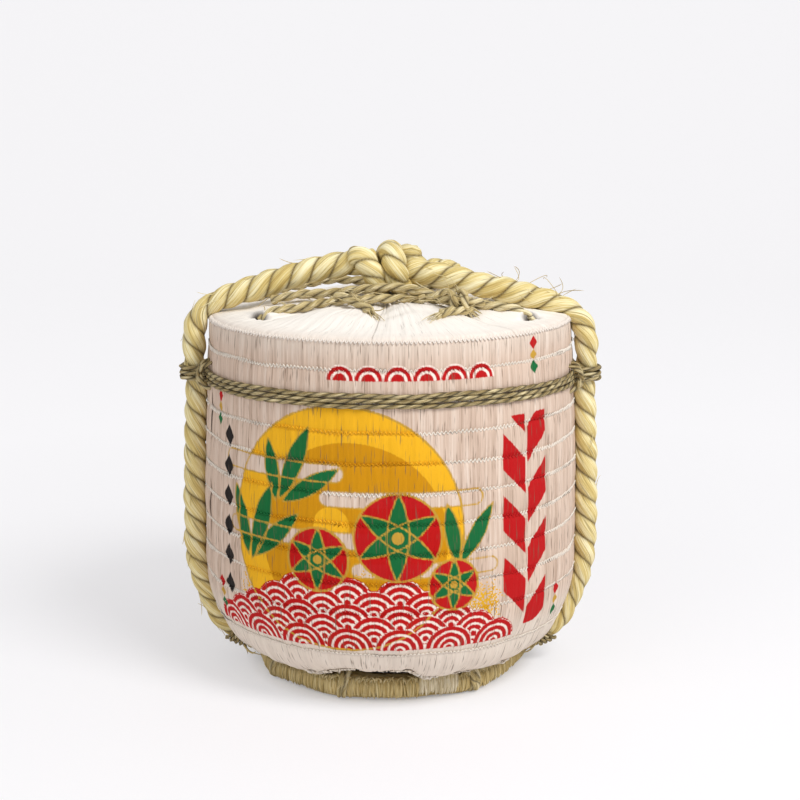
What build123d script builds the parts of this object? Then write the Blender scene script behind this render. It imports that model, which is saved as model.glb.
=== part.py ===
from build123d import *
from math import acos, asin, ceil, cos, degrees, hypot, pi, radians, sin, sqrt, tan
import os

# A small straw-wrapped sake barrel: coopered cedar tub, straw packing, stitched straw mat, rope and cords.
# Millimetres, +Z up, origin on the floor at the middle of the foot ring, front towards -Y.
# An azimuth is counted from the front towards +X, in degrees.

# Straw mat, the outer wrap: a big-radius side, a rounded haunch and a foot folded under the tub
belly_radius = 97.0
belly_height = 60.0
mat_top_height = 182.0
shoulder_taper = 4.5
haunch_inset = 7.8
haunch_rise = 12.6
mat_foot_inset = 29.0
mat_wall = 3.5
mat_fold_width = 20.0
mat_lip_rise = 2.7

# Foot ring of straw bundles and the cords between them
foot_ring_height = 11.0
foot_ring_outset = 2.0
foot_ring_width = 16.0
foot_ring_round = 3.0
foot_tie_azimuths = [-58, -21, 35, 88, 131, 176, 221, 262]
foot_tie_space = 5.4
foot_tie_diameter = 2.8
foot_tie_floor_gap = 0.4
foot_tie_bend = 4.0

# Cedar tub
stave_count = 14
stave_thickness = 9.0
stave_joint = 0.05
stave_chamfer = 2.0
hoop_foot_gap = 1.8
rim_drop = 2.0
bottom_recess = 8.0
board_thickness = 10.0
croze_depth = 3.0
croze_play = 0.2
lid_recess = 6.0
lid_ledge = 3.0
lid_play = 0.4
board_count = 3
board_joint = 0.1
dowel_diameter = 4.0
dowel_length = 16.0
dowel_play = 0.1
dowel_spread = 36.0
bung_top_diameter = 22.0
bung_taper = 1.5
bung_head_rise = 5.0
bung_play = 0.3
bung_offset = 34.0
bung_chamfer = 1.0

# Bamboo hoops
hoop_width = 13.0
hoop_thickness = 4.0
hoop_fit = 0.2
lower_hoop_heights = [8.0, 32.0]
upper_hoop_drops = [14.0, 42.0]

# Straw packing between the tub and the mat
packing_top_wall = 2.0
seat_gap = 0.3

# Top flaps of folded mat straw
flap_count = 8
flap_first_slit = -5.0
flap_slit_width = 1.2
flap_thickness = 2.7
flap_rise = 7.0
flap_inner_radius = 20.0
flap_edge_round = 2.0

# Heavy straw rope over the top
rope_diameter = 12.4
rope_forward = 12.0
rope_join_drop = 24.0
rope_join_gap = 0.4
rope_shoulder_drop = 8.0
rope_shoulder_bend = 20.0
rope_left_slope = 17.0
rope_right_slope = 12.5
rope_end_angle = 58.0
groove_gap = 0.4

# Knot of the heavy rope
knot_turns = 2.25
knot_pitch = 13.2
knot_bend = 8.3
knot_lift = 2.1
knot_room = 2.0

# Band cord round the mat and over the rope, in one winding
cord_diameter = 2.6
band_turns = 3
band_pitch = 3.0
band_nook_bend = 9.0
band_rope_gap = 0.8

# Cord ties and lashings that hold the rope
tie_gap = 0.4
tie_bend = 2.4
tie_back_off = 3.0
lashing_diameter = 4.0
lashing_angle = 40.0
lashing_leg = 5.0

# Lacing cords that draw the flaps together, as routes on the flaps
lacing_diameter = 5.0
lacing_gap = 0.5
lacing_front_plan = [(-73, -29), (-37, -34), (2, -36), (37, -33), (74, -30)]
lacing_back_plan = [(-67, 11), (-35, 17), (2, 20), (36, 16), (69, 10)]
lacing_knot_turns = 1.5
lacing_knot_pitch = 5.6
lacing_knot_bend = 4.6
lacing_knot_plan = (34, -43.5)

os.makedirs("parts", exist_ok=True)

# Sizes that follow from the driving ones
mat_top_radius = belly_radius - shoulder_taper
mat_foot_radius = belly_radius - mat_foot_inset
foot_ring_radius = mat_foot_radius + foot_ring_outset
fold_bottom = foot_ring_height + seat_gap
mat_foot_height = fold_bottom + mat_lip_rise
haunch = (belly_radius - haunch_inset, mat_foot_height + haunch_rise)
tub_bottom = mat_foot_height + mat_wall + seat_gap
rim_height = mat_top_height - rim_drop
hoop_stack = hoop_fit + hoop_thickness
tub_top_radius = mat_top_radius - mat_wall - seat_gap - packing_top_wall - seat_gap - hoop_stack
rope_radius = rope_diameter / 2
cord_radius = cord_diameter / 2
flap_under = mat_top_height + seat_gap
rope_join_height = mat_top_height - rope_join_drop
rope_shoulder_height = mat_top_height - rope_shoulder_drop


def unit(vector):
    length = hypot(*vector)
    return tuple(part / length for part in vector)


def chord_radius(start, tangent, end):
    # Radius of the arc that leaves start along tangent and reaches end
    along = tuple(b - a for a, b in zip(start, end))
    cross = abs(tangent[0] * along[1] - tangent[1] * along[0])
    return hypot(*along) ** 2 / (2 * cross)


side_bend = chord_radius((belly_radius, belly_height), (0, 1), (mat_top_radius, mat_top_height))
haunch_bend = chord_radius((belly_radius, belly_height), (0, -1), haunch)
haunch_out = unit((haunch[0] - belly_radius + haunch_bend, haunch[1] - belly_height))
haunch_along = (haunch_out[1], -haunch_out[0])
foot_bend = chord_radius(haunch, haunch_along, (mat_foot_radius, mat_foot_height))
foot_centre = (haunch[0] - foot_bend * haunch_out[0], haunch[1] - foot_bend * haunch_out[1])
foot_out = unit((mat_foot_radius - foot_centre[0], mat_foot_height - foot_centre[1]))

# The tub stands where its lowest hoop just clears the inside of the mat's foot
hoop_foot = tub_bottom + lower_hoop_heights[0] - hoop_width / 2
foot_inside = foot_centre[0] + sqrt((foot_bend - mat_wall) ** 2 - (hoop_foot - foot_centre[1]) ** 2)
tub_bottom_radius = foot_inside - hoop_foot_gap - hoop_stack
print("tub bottom radius", round(tub_bottom_radius, 2))


def mat_radius(height):
    # Outer radius of the mat's side above the belly
    return belly_radius - side_bend + sqrt(side_bend**2 - (height - belly_height) ** 2)


def haunch_point(outset):
    return (haunch[0] + outset * haunch_out[0], haunch[1] + outset * haunch_out[1])


def foot_point(outset):
    return (mat_foot_radius + outset * foot_out[0], mat_foot_height + outset * foot_out[1])


def tub_radius(height):
    share = (height - tub_bottom) / (rim_height - tub_bottom)
    return tub_bottom_radius + share * (tub_top_radius - tub_bottom_radius)


def polar(radius, azimuth, height):
    return (radius * sin(radians(azimuth)), -radius * cos(radians(azimuth)), height)


def radial_plane(azimuth):
    # Upright plane through the axis, with local x outwards and local y up
    out = (sin(radians(azimuth)), -cos(radians(azimuth)), 0)
    return Plane((0, 0, 0), x_dir=out, z_dir=(out[1], -out[0], 0))


def flap_top(radius):
    fall = (radius - flap_inner_radius) / (mat_top_radius - flap_inner_radius)
    return flap_under + flap_thickness + flap_rise * (1 - fall)


def biarc(start, start_tangent, end, end_tangent):
    # Two tangent arcs from one point and direction to the next
    p0, t0 = Vector(*start), Vector(*start_tangent).normalized()
    p1, t1 = Vector(*end), Vector(*end_tangent).normalized()
    v, t = p1 - p0, t0 + t1
    k = 2 * (1 - t0.dot(t1))
    d = (sqrt(v.dot(t) ** 2 + k * v.dot(v)) - v.dot(t)) / k
    q0, q1 = p0 + t0 * d, p1 - t1 * d
    middle = (q0 + q1) * 0.5
    TangentArc(p0, middle, tangent=t0)
    TangentArc(middle, p1, tangent=q1 - q0)


def wind(stations, end_run):
    # One unbroken route through (point, tangent) stations, straight for end_run at both ends
    first, first_tangent = Vector(*stations[0][0]), Vector(*stations[0][1]).normalized()
    last, last_tangent = Vector(*stations[-1][0]), Vector(*stations[-1][1]).normalized()
    Line(first - first_tangent * end_run, first)
    for (p0, t0), (p1, t1) in zip(stations, stations[1:]):
        biarc(p0, t0, p1, t1)
    Line(last, last + last_tangent * end_run)


def start_plane(route):
    line = route.wires()[0]
    return Plane(line @ 0, z_dir=line % 0)


def least_gap(route, diameter, skip):
    # Least gap of a tube to itself, on points spaced along its route, beyond a stretch of skip
    line = route.wires()[0]
    count = ceil(line.length / (diameter / 4))
    points = [line @ (i / count) for i in range(count + 1)]
    reach = ceil(skip / (line.length / count))
    gaps = [(points[i] - points[j]).length for i in range(count + 1) for j in range(i + reach, count + 1)]
    return min(gaps) - diameter


def report_tube(name, route, diameter, solid):
    line = route.wires()[0]
    wanted = pi * diameter**2 / 4 * line.length
    print(name, "length", round(line.length, 1), "volume share", round(solid.volume / wanted, 4))


def corner_radii(points, least):
    # The largest arc for each corner of a route: 0.45 of the shorter run over tan of half the turn
    radii = []
    for before, here, after in zip(points, points[1:], points[2:]):
        a, b = Vector(*here) - Vector(*before), Vector(*after) - Vector(*here)
        half_turn = radians(a.get_angle(b)) / 2
        radii.append(max(least, 0.45 * min(a.length, b.length) / tan(half_turn)))
    return radii


def save(builder, name):
    builder.part.label = name
    export_step(builder.part, f"parts/{name}.step")


# Routes of the heavy rope, in an upright plane a little in front of the axis
rope_outset = rope_radius + seat_gap


def rope_point(x, z):
    return (x, -rope_forward, z)


def rope_x(radius):
    return sqrt(radius**2 - rope_forward**2)


leg_x = rope_x(mat_radius(rope_join_height) + rope_outset)
rope_azimuth = 90 - degrees(asin(rope_forward / (mat_radius(rope_join_height) + rope_outset)))
shoulder_centre = (leg_x - rope_shoulder_bend, rope_shoulder_height)
knot_half = knot_turns * knot_pitch / 2
knot_height = flap_top(flap_inner_radius) + knot_lift + rope_radius + knot_bend
run_stop = knot_half + rope_radius + knot_room


def upper_rope_points(slope):
    # Foot of the leg, start and end of the shoulder bend, and the end at the knot, for the right side
    bend_end = (
        shoulder_centre[0] + rope_shoulder_bend * sin(radians(slope)),
        shoulder_centre[1] + rope_shoulder_bend * cos(radians(slope)),
    )
    run_end = (run_stop, bend_end[1] + (bend_end[0] - run_stop) * tan(radians(slope)))
    return (leg_x, rope_join_height + rope_join_gap / 2), (leg_x, rope_shoulder_height), bend_end, run_end


rope_sides = [("left", -1, rope_left_slope), ("right", 1, rope_right_slope)]
rope_grooves = []
for side, sign, slope in rope_sides:
    leg_foot, bend_start, bend_end, run_end = [
        rope_point(sign * x, z) for x, z in upper_rope_points(slope)
    ]
    for purpose, radius in (("rope", rope_radius), ("groove", rope_radius + groove_gap)):
        with BuildPart() as upper_rope:
            with BuildLine() as upper_route:
                Line(leg_foot, bend_start)
                TangentArc(bend_start, bend_end, tangent=(0, 0, 1))
                Line(bend_end, run_end)
            with BuildSketch(start_plane(upper_route)):
                Circle(radius)
            sweep()
        if purpose == "rope":
            save(upper_rope, f"rope_upper_{side}")
            report_tube(f"rope_upper_{side}", upper_route, rope_diameter, upper_rope.part)
        else:
            rope_grooves.append(upper_rope.part)

# Lower rope runs, which follow the side, the haunch and the foot of the mat
foot_swing = radians(-rope_end_angle)
rope_end = (
    foot_centre[0] + (foot_bend + rope_outset) * cos(foot_swing),
    foot_centre[1] + (foot_bend + rope_outset) * sin(foot_swing),
)
for side, sign, slope in rope_sides:
    with BuildPart() as lower_rope:
        with BuildLine() as lower_route:
            top_end = rope_point(sign * leg_x, rope_join_height - rope_join_gap / 2)
            belly_out = rope_point(sign * rope_x(belly_radius + rope_outset), belly_height)
            haunch_x, haunch_z = haunch_point(rope_outset)
            haunch_rope = rope_point(sign * rope_x(haunch_x), haunch_z)
            foot_end = rope_point(sign * rope_x(rope_end[0]), rope_end[1])
            TangentArc(belly_out, top_end, tangent=(0, 0, 1))
            TangentArc(belly_out, haunch_rope, tangent=(0, 0, -1))
            TangentArc(haunch_rope, foot_end, tangent=(sign * haunch_along[0], 0, haunch_along[1]))
        with BuildSketch(start_plane(lower_route)):
            Circle(rope_radius)
        sweep()
    save(lower_rope, f"rope_lower_{side}")
    report_tube(f"rope_lower_{side}", lower_route, rope_diameter, lower_rope.part)

# Mat: revolved wall with its foot folded in under the tub, grooved where the rope bears on the shoulder
with BuildPart() as mat:
    with BuildSketch(Plane.XZ):
        with BuildLine():
            outer_top = (mat_top_radius, mat_top_height)
            outer_belly = (belly_radius, belly_height)
            inner_foot = foot_point(-mat_wall)
            inner_belly = (belly_radius - mat_wall, belly_height)
            inner_top = (mat_top_radius - mat_wall, mat_top_height)
            fold_outer = mat_foot_radius - 2 * mat_lip_rise
            fold_inner = mat_foot_radius - mat_fold_width
            TangentArc(outer_belly, outer_top, tangent=(0, 1))
            TangentArc(outer_belly, haunch, tangent=(0, -1))
            TangentArc(haunch, (mat_foot_radius, mat_foot_height), tangent=haunch_along)
            Polyline(
                (mat_foot_radius, mat_foot_height),
                (fold_outer, fold_bottom),
                (fold_inner, fold_bottom),
                (fold_inner, inner_foot[1]),
                inner_foot,
            )
            TangentArc(haunch_point(-mat_wall), inner_foot, tangent=haunch_along)
            TangentArc(inner_belly, haunch_point(-mat_wall), tangent=(0, -1))
            TangentArc(inner_belly, inner_top, tangent=(0, 1))
            Line(inner_top, outer_top)
        make_face()
    revolve(axis=Axis.Z)
    for groove in rope_grooves:
        add(groove, mode=Mode.SUBTRACT)
save(mat, "straw_mat")

# Top flaps, each turning on the mat's top edge
flap_angle = 360 / flap_count
slit_angle = degrees(flap_slit_width / mat_top_radius)
for number in range(1, flap_count + 1):
    flap_start = flap_first_slit + (number - 1) * flap_angle + slit_angle / 2
    with BuildPart() as flap:
        with BuildSketch(radial_plane(flap_start)):
            with BuildLine():
                Polyline(
                    (mat_top_radius, flap_under),
                    (mat_top_radius, flap_top(mat_top_radius) - flap_edge_round),
                    (mat_top_radius - flap_edge_round, flap_top(mat_top_radius - flap_edge_round)),
                    (flap_inner_radius, flap_top(flap_inner_radius)),
                    (flap_inner_radius, flap_top(flap_inner_radius) - flap_thickness),
                    close=True,
                )
            make_face()
        revolve(axis=Axis.Z, revolution_arc=flap_angle - slit_angle)
        for groove in rope_grooves:
            add(groove, mode=Mode.SUBTRACT)
    save(flap, f"top_flap_{number}")

# Straw packing
packing_inset = mat_wall + seat_gap
with BuildPart() as packing:
    with BuildSketch(Plane.XZ):
        with BuildLine():
            packing_low = haunch_point(-packing_inset)
            packing_belly = (belly_radius - packing_inset, belly_height)
            packing_high = (mat_radius(rim_height) - packing_inset, rim_height)
            inner_low = tub_radius(packing_low[1]) + hoop_stack + seat_gap
            inner_high = tub_radius(rim_height) + hoop_stack + seat_gap
            TangentArc(packing_belly, packing_low, tangent=(0, -1))
            TangentArc(packing_belly, packing_high, tangent=(0, 1))
            Polyline(packing_high, (inner_high, rim_height), (inner_low, packing_low[1]), packing_low)
        make_face()
    revolve(axis=Axis.Z)
save(packing, "straw_packing")

# Staves, one loop round the tub, each with the croze for the bottom and the ledge for the lid
stave_angle = 360 / stave_count
joint_angle = degrees(stave_joint / tub_bottom_radius)
bottom_under = tub_bottom + bottom_recess
bottom_top = bottom_under + board_thickness
lid_top = rim_height - lid_recess
lid_under = lid_top - board_thickness
ledge_height = lid_under - seat_gap
croze_radius = tub_radius(bottom_under) - stave_thickness + croze_depth
lid_seat_radius = tub_radius(ledge_height) - stave_thickness + lid_ledge
for number in range(1, stave_count + 1):
    stave_start = (number - 1) * stave_angle + joint_angle / 2
    with BuildPart() as stave:
        with BuildSketch(radial_plane(stave_start)):
            with BuildLine():
                Polyline(
                    (tub_bottom_radius - stave_chamfer, tub_bottom),
                    (tub_radius(tub_bottom + stave_chamfer), tub_bottom + stave_chamfer),
                    (tub_top_radius, rim_height),
                    (lid_seat_radius, rim_height),
                    (lid_seat_radius, ledge_height),
                    (tub_radius(ledge_height) - stave_thickness, ledge_height),
                    (tub_radius(bottom_top + croze_play) - stave_thickness, bottom_top + croze_play),
                    (croze_radius, bottom_top + croze_play),
                    (croze_radius, bottom_under - croze_play),
                    (tub_radius(bottom_under - croze_play) - stave_thickness, bottom_under - croze_play),
                    (tub_bottom_radius - stave_thickness, tub_bottom),
                    close=True,
                )
            make_face()
        revolve(axis=Axis.Z, revolution_arc=stave_angle - joint_angle)
    save(stave, f"stave_{number:02d}")

# Bamboo hoops on the tapered tub
hoop_middles = [tub_bottom + height for height in lower_hoop_heights]
hoop_middles += [rim_height - drop for drop in upper_hoop_drops]
for number, middle in enumerate(sorted(hoop_middles), start=1):
    low, high = middle - hoop_width / 2, middle + hoop_width / 2
    with BuildPart() as hoop:
        with BuildSketch(Plane.XZ):
            with BuildLine():
                Polyline(
                    (tub_radius(low) + hoop_fit, low),
                    (tub_radius(low) + hoop_stack, low),
                    (tub_radius(high) + hoop_stack, high),
                    (tub_radius(high) + hoop_fit, high),
                    close=True,
                )
            make_face()
        revolve(axis=Axis.Z)
    save(hoop, f"bamboo_hoop_{number}")

# Bottom and lid, each of three boards edge-joined with dowels; the lid's middle board takes the bung
bottom_radius = croze_radius - croze_play
lid_radius = lid_seat_radius - lid_play
boards = [("bottom_board", bottom_radius, bottom_under), ("lid_board", lid_radius, lid_under)]
bung_low_radius = bung_top_diameter / 2 - bung_taper
for name, radius, under in boards:
    board_width = 2 * radius / board_count
    joints = [-radius + board_width * step for step in range(1, board_count)]
    dowel_height = under + board_thickness / 2
    dowel_places = [(x, y) for x in joints for y in (-dowel_spread, dowel_spread)]
    for number in range(1, board_count + 1):
        middle = -radius + board_width * (number - 0.5)
        with BuildPart() as board:
            with BuildSketch(Plane.XY.offset(under)):
                Circle(radius)
                with Locations((middle, 0)):
                    Rectangle(board_width - board_joint, 2 * radius, mode=Mode.INTERSECT)
            extrude(amount=board_thickness)
            for x, y in dowel_places:
                with BuildSketch(Plane.YZ.offset(x - dowel_length / 2 - dowel_play)):
                    with Locations((y, dowel_height)):
                        Circle(dowel_diameter / 2 + dowel_play)
                extrude(amount=dowel_length + 2 * dowel_play, mode=Mode.SUBTRACT)
            if name == "lid_board":
                with BuildSketch(Plane.XY.offset(under)):
                    with Locations((0, -bung_offset)):
                        Circle(bung_low_radius + bung_play)
                with BuildSketch(Plane.XY.offset(under + board_thickness)):
                    with Locations((0, -bung_offset)):
                        Circle(bung_top_diameter / 2 + bung_play)
                loft(mode=Mode.SUBTRACT)
        save(board, f"{name}_{number}")
    with BuildPart() as dowels:
        for x, y in dowel_places:
            with BuildSketch(Plane.YZ.offset(x - dowel_length / 2)):
                with Locations((y, dowel_height)):
                    Circle(dowel_diameter / 2)
            extrude(amount=dowel_length)
    save(dowels, f"{name.split('_')[0]}_dowels")

with BuildPart() as bung:
    with BuildSketch(Plane.XY.offset(lid_under)):
        with Locations((0, -bung_offset)):
            Circle(bung_low_radius)
    with BuildSketch(Plane.XY.offset(lid_top)):
        with Locations((0, -bung_offset)):
            Circle(bung_top_diameter / 2)
    loft()
    with BuildSketch(Plane.XY.offset(lid_top)):
        with Locations((0, -bung_offset)):
            Circle(bung_top_diameter / 2)
    extrude(amount=bung_head_rise)
    chamfer(bung.faces().sort_by(Axis.Z)[-1].edges(), bung_chamfer)
save(bung, "lid_bung")

# Foot ring: straw bundles with a space for a cord at each tie
foot_inner = foot_ring_radius - foot_ring_width
space_angle = degrees(foot_tie_space / foot_ring_radius)
next_ties = foot_tie_azimuths[1:] + [foot_tie_azimuths[0] + 360]
with BuildPart() as foot_ring:
    for tie, next_tie in zip(foot_tie_azimuths, next_ties):
        with BuildSketch(radial_plane(tie + space_angle / 2)) as bundle:
            with BuildLine():
                Polyline(
                    (foot_inner, 0),
                    (foot_ring_radius, 0),
                    (foot_ring_radius, foot_ring_height),
                    (foot_inner, foot_ring_height),
                    close=True,
                )
            make_face()
            fillet(bundle.vertices().group_by(Axis.Z)[-1], foot_ring_round)
        revolve(axis=Axis.Z, revolution_arc=next_tie - tie - space_angle)
save(foot_ring, "foot_straw_bundles")

# Cords that pass under the foot ring in those spaces, hung from the mat's folded foot
tie_low = foot_tie_floor_gap + foot_tie_diameter / 2
tie_inner = foot_inner - foot_tie_diameter / 2
tie_outer = foot_ring_radius + foot_tie_diameter / 2
with BuildPart() as foot_ties:
    for azimuth in foot_tie_azimuths:
        with BuildLine(radial_plane(azimuth)) as foot_tie_route:
            FilletPolyline(
                (tie_inner, fold_bottom - seat_gap),
                (tie_inner, tie_low),
                (tie_outer, tie_low),
                (tie_outer, mat_foot_height - seat_gap),
                radius=foot_tie_bend,
            )
        with BuildSketch(start_plane(foot_tie_route)):
            Circle(foot_tie_diameter / 2)
        sweep()
save(foot_ties, "foot_tie_cords")

# Knot of the heavy rope: a winding about X, with one cut end in front and one behind
with BuildPart() as knot:
    with BuildLine() as knot_route:
        stations = []
        for quarter in range(round(knot_turns * 4) + 1):
            turn = radians(180 + 90 * quarter)
            along = -knot_half + knot_pitch * quarter / 4
            point = (along, -rope_forward + knot_bend * cos(turn), knot_height + knot_bend * sin(turn))
            rise = knot_pitch / (2 * pi)
            stations.append((point, (rise, -knot_bend * sin(turn), knot_bend * cos(turn))))
        wind(stations, rope_diameter)
    with BuildSketch(start_plane(knot_route)):
        Circle(rope_radius)
    sweep()
save(knot, "rope_knot")
report_tube("rope_knot", knot_route, rope_diameter, knot.part)
print("rope_knot gap", round(least_gap(knot_route, rope_diameter, 2 * pi * knot_bend * 0.75), 2))

# Band cord: in plan it lies on the mat, dips round a nook on each side of the rope and passes over the rope
band_rise = band_pitch * band_turns
band_low = rope_join_height - band_rise / 2
band_radius = mat_radius(rope_join_height - band_rise / 2) + seat_gap + cord_radius
over_rope = rope_radius + band_rope_gap + cord_radius
rope_middle = hypot(leg_x, rope_forward)
nook_far = band_radius + band_nook_bend
nook_near = over_rope + band_nook_bend
nook_swing = degrees(acos((rope_middle**2 + nook_far**2 - nook_near**2) / (2 * rope_middle * nook_far)))
over_cosine = (rope_middle**2 + nook_near**2 - nook_far**2) / (2 * rope_middle * nook_near)
over_swing = 180 - degrees(acos(over_cosine))


def band_plan():
    # Stations of one turn from the back round to the back, as (point, heading azimuth) in plan
    turn = [(polar(band_radius, -180, 0), -180)]
    for side_azimuth in (-rope_azimuth, rope_azimuth):
        middle = polar(rope_middle, side_azimuth, 0)
        for end in (-1, 1):
            mat_side = side_azimuth + end * nook_swing
            nook = (polar(band_radius, mat_side, 0), mat_side)
            flank_azimuth = side_azimuth + end * over_swing
            flank_step = polar(over_rope, flank_azimuth, 0)
            flank = (tuple(a + b for a, b in zip(middle, flank_step)), flank_azimuth)
            turn += [nook, flank] if end < 0 else [flank, nook]
            if end < 0:
                crest_step = polar(over_rope, side_azimuth, 0)
                turn.append((tuple(a + b for a, b in zip(middle, crest_step)), side_azimuth))
        turn.append((polar(band_radius, 0 if side_azimuth < 0 else 180, 0), 0 if side_azimuth < 0 else 180))
    return turn


with BuildPart() as band:
    with BuildLine() as band_route:
        stations = []
        plan = band_plan()
        runs = [hypot(b[0][0] - a[0][0], b[0][1] - a[0][1]) for a, b in zip(plan, plan[1:])]
        climb = band_pitch / sum(runs)
        for turn in range(band_turns):
            gone = 0
            for place, (point, heading) in enumerate(plan):
                height = band_low + band_pitch * turn + climb * gone
                tangent = (cos(radians(heading)), sin(radians(heading)), climb)
                if place or not turn:
                    stations.append(((point[0], point[1], height), tangent))
                gone += runs[place] if place < len(runs) else 0
        wind(stations, cord_diameter)
    with BuildSketch(start_plane(band_route)):
        Circle(cord_radius)
    sweep()
save(band, "band_cord")
report_tube("band_cord", band_route, cord_diameter, band.part)
print("band_cord gap", round(least_gap(band_route, cord_diameter, 2 * pi * over_rope), 2))

# Ties: a cord drawn over the band in the front nook beside each rope
tie_reach = cord_diameter + tie_gap
tie_high = band_low + band_rise + cord_diameter + seat_gap
tie_under = band_low - cord_diameter - seat_gap
for side, sign, slope in rope_sides:
    azimuth = sign * (rope_azimuth - nook_swing - tie_back_off)
    with BuildPart() as tie:
        with BuildLine(radial_plane(azimuth)) as tie_route:
            FilletPolyline(
                (band_radius, tie_high),
                (band_radius + tie_reach, tie_high),
                (band_radius + tie_reach, tie_under),
                (band_radius, tie_under),
                radius=tie_bend,
            )
        with BuildSketch(start_plane(tie_route)):
            Circle(cord_radius)
        sweep()
    save(tie, f"rope_tie_{side}")

# Lashings over the lower ends of the rope, tucked in against the mat
lash_swing = radians(-lashing_angle)
lash_out = (cos(lash_swing), sin(lash_swing))
lash_middle = (
    foot_centre[0] + (foot_bend + rope_outset) * lash_out[0],
    foot_centre[1] + (foot_bend + rope_outset) * lash_out[1],
)
lash_half = rope_radius + seat_gap + lashing_diameter / 2
for side, sign, slope in rope_sides:
    out = Vector(sign * lash_out[0], 0, lash_out[1])
    across = Vector(0, lash_half, 0)
    centre = Vector(*rope_point(sign * rope_x(lash_middle[0]), lash_middle[1]))
    with BuildPart() as lashing:
        with BuildLine() as lashing_route:
            Line(centre - across - out * lashing_leg, centre - across)
            TangentArc(centre - across, centre + across, tangent=out)
            Line(centre + across, centre + across - out * lashing_leg)
        with BuildSketch(start_plane(lashing_route)):
            Circle(lashing_diameter / 2)
        sweep()
    save(lashing, f"rope_lashing_{side}")

# Lacing cords across the flaps
lacing_lift = lacing_diameter / 2 + lacing_gap
for name, plan_points in (("front", lacing_front_plan), ("back", lacing_back_plan)):
    route = [(x, y, flap_top(hypot(x, y)) + lacing_lift) for x, y in plan_points]
    radii = corner_radii(route, 3 * lacing_diameter)
    print("lacing", name, "radii", [round(radius) for radius in radii])
    with BuildPart() as lacing:
        with BuildLine() as lacing_route:
            FilletPolyline(*route, radius=radii)
        with BuildSketch(start_plane(lacing_route)):
            Circle(lacing_diameter / 2)
        sweep()
    save(lacing, f"lacing_{name}")
    report_tube(f"lacing_{name}", lacing_route, lacing_diameter, lacing.part)

# Small knot of the lacing
knot_x, knot_y = lacing_knot_plan
lacing_knot_half = lacing_knot_turns * lacing_knot_pitch / 2
lacing_knot_height = flap_top(hypot(knot_x, knot_y) - lacing_knot_bend) + lacing_lift + lacing_knot_bend
with BuildPart() as lacing_knot:
    with BuildLine() as lacing_knot_route:
        stations = []
        for quarter in range(round(lacing_knot_turns * 4) + 1):
            turn = radians(90 + 90 * quarter)
            along = knot_x - lacing_knot_half + lacing_knot_pitch * quarter / 4
            point = (
                along,
                knot_y + lacing_knot_bend * cos(turn),
                lacing_knot_height + lacing_knot_bend * sin(turn),
            )
            rise = lacing_knot_pitch / (2 * pi)
            stations.append((point, (rise, -lacing_knot_bend * sin(turn), lacing_knot_bend * cos(turn))))
        wind(stations, lacing_diameter)
    with BuildSketch(start_plane(lacing_knot_route)):
        Circle(lacing_diameter / 2)
    sweep()
save(lacing_knot, "lacing_knot")
knot_skip = 2 * pi * lacing_knot_bend * 0.75
print("lacing_knot gap", round(least_gap(lacing_knot_route, lacing_diameter, knot_skip), 2))
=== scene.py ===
import math
import bmesh
import bpy
import mathutils
import numpy as np
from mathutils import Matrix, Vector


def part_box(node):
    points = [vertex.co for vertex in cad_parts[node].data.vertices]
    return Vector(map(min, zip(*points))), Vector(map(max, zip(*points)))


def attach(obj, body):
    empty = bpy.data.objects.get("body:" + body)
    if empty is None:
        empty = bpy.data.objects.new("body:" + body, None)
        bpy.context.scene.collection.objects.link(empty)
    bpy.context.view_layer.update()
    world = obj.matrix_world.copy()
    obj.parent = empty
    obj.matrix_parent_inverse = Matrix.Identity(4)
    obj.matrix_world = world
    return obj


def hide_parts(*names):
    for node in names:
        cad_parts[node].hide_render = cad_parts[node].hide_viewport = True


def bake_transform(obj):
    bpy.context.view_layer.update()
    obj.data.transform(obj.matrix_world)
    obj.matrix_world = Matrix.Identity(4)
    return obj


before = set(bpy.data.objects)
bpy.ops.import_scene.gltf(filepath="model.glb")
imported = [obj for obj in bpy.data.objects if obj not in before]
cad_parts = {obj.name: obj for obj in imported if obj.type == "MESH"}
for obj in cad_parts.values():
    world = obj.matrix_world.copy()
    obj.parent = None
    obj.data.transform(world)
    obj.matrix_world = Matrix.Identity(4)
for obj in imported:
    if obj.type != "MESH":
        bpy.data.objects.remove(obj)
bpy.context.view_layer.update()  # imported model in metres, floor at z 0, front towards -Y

# Straw-wrapped sake barrel. Sizes below are in mm; makePiece turns them to metres.
# Azimuth is counted in degrees from the front (-Y) towards +X.
mm = 0.001
tau = 2 * math.pi
weldGap = 2e-6  # in metres
noShade = np.zeros(1)
upright = np.array([0.0, 0.0, 1.0])
sides = (("left", -1), ("right", 1))


def linearColour(hexColour):
    # sRGB hex to linear: c/12.92 when small, else ((c + 0.055)/1.055) to the power 2.4
    srgb = np.array([int(hexColour[place:place + 2], 16) for place in (1, 3, 5)]) / 255
    linear = np.where(srgb <= 0.04045, srgb / 12.92, ((srgb + 0.055) / 1.055) ** 2.4)
    return (*linear.tolist(), 1.0)


def addNode(tree, kind, inputs=None, out=0, stops=(), **settings):
    # One node, giving one output: settings are properties, inputs constants or sockets to link, stops fill a ramp
    node = tree.nodes.new("ShaderNode" + kind)
    for key, value in settings.items():
        setattr(node, key, value)
    for key, value in (inputs or {}).items():
        if isinstance(value, bpy.types.NodeSocket):
            tree.links.new(value, node.inputs[key])
        else:
            node.inputs[key].default_value = value
    for number, (place, colour) in enumerate(stops):
        while number >= len(node.color_ramp.elements):
            node.color_ramp.elements.new(1.0)
        node.color_ramp.elements[number].position = place
        node.color_ramp.elements[number].color = linearColour(colour)
    return node.outputs[out] if len(node.outputs) else None


def newMaterial(name):
    # A material with an empty node tree
    material = bpy.data.materials.new(name)
    material.use_nodes = True
    material.node_tree.nodes.clear()
    return material, material.node_tree


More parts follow.
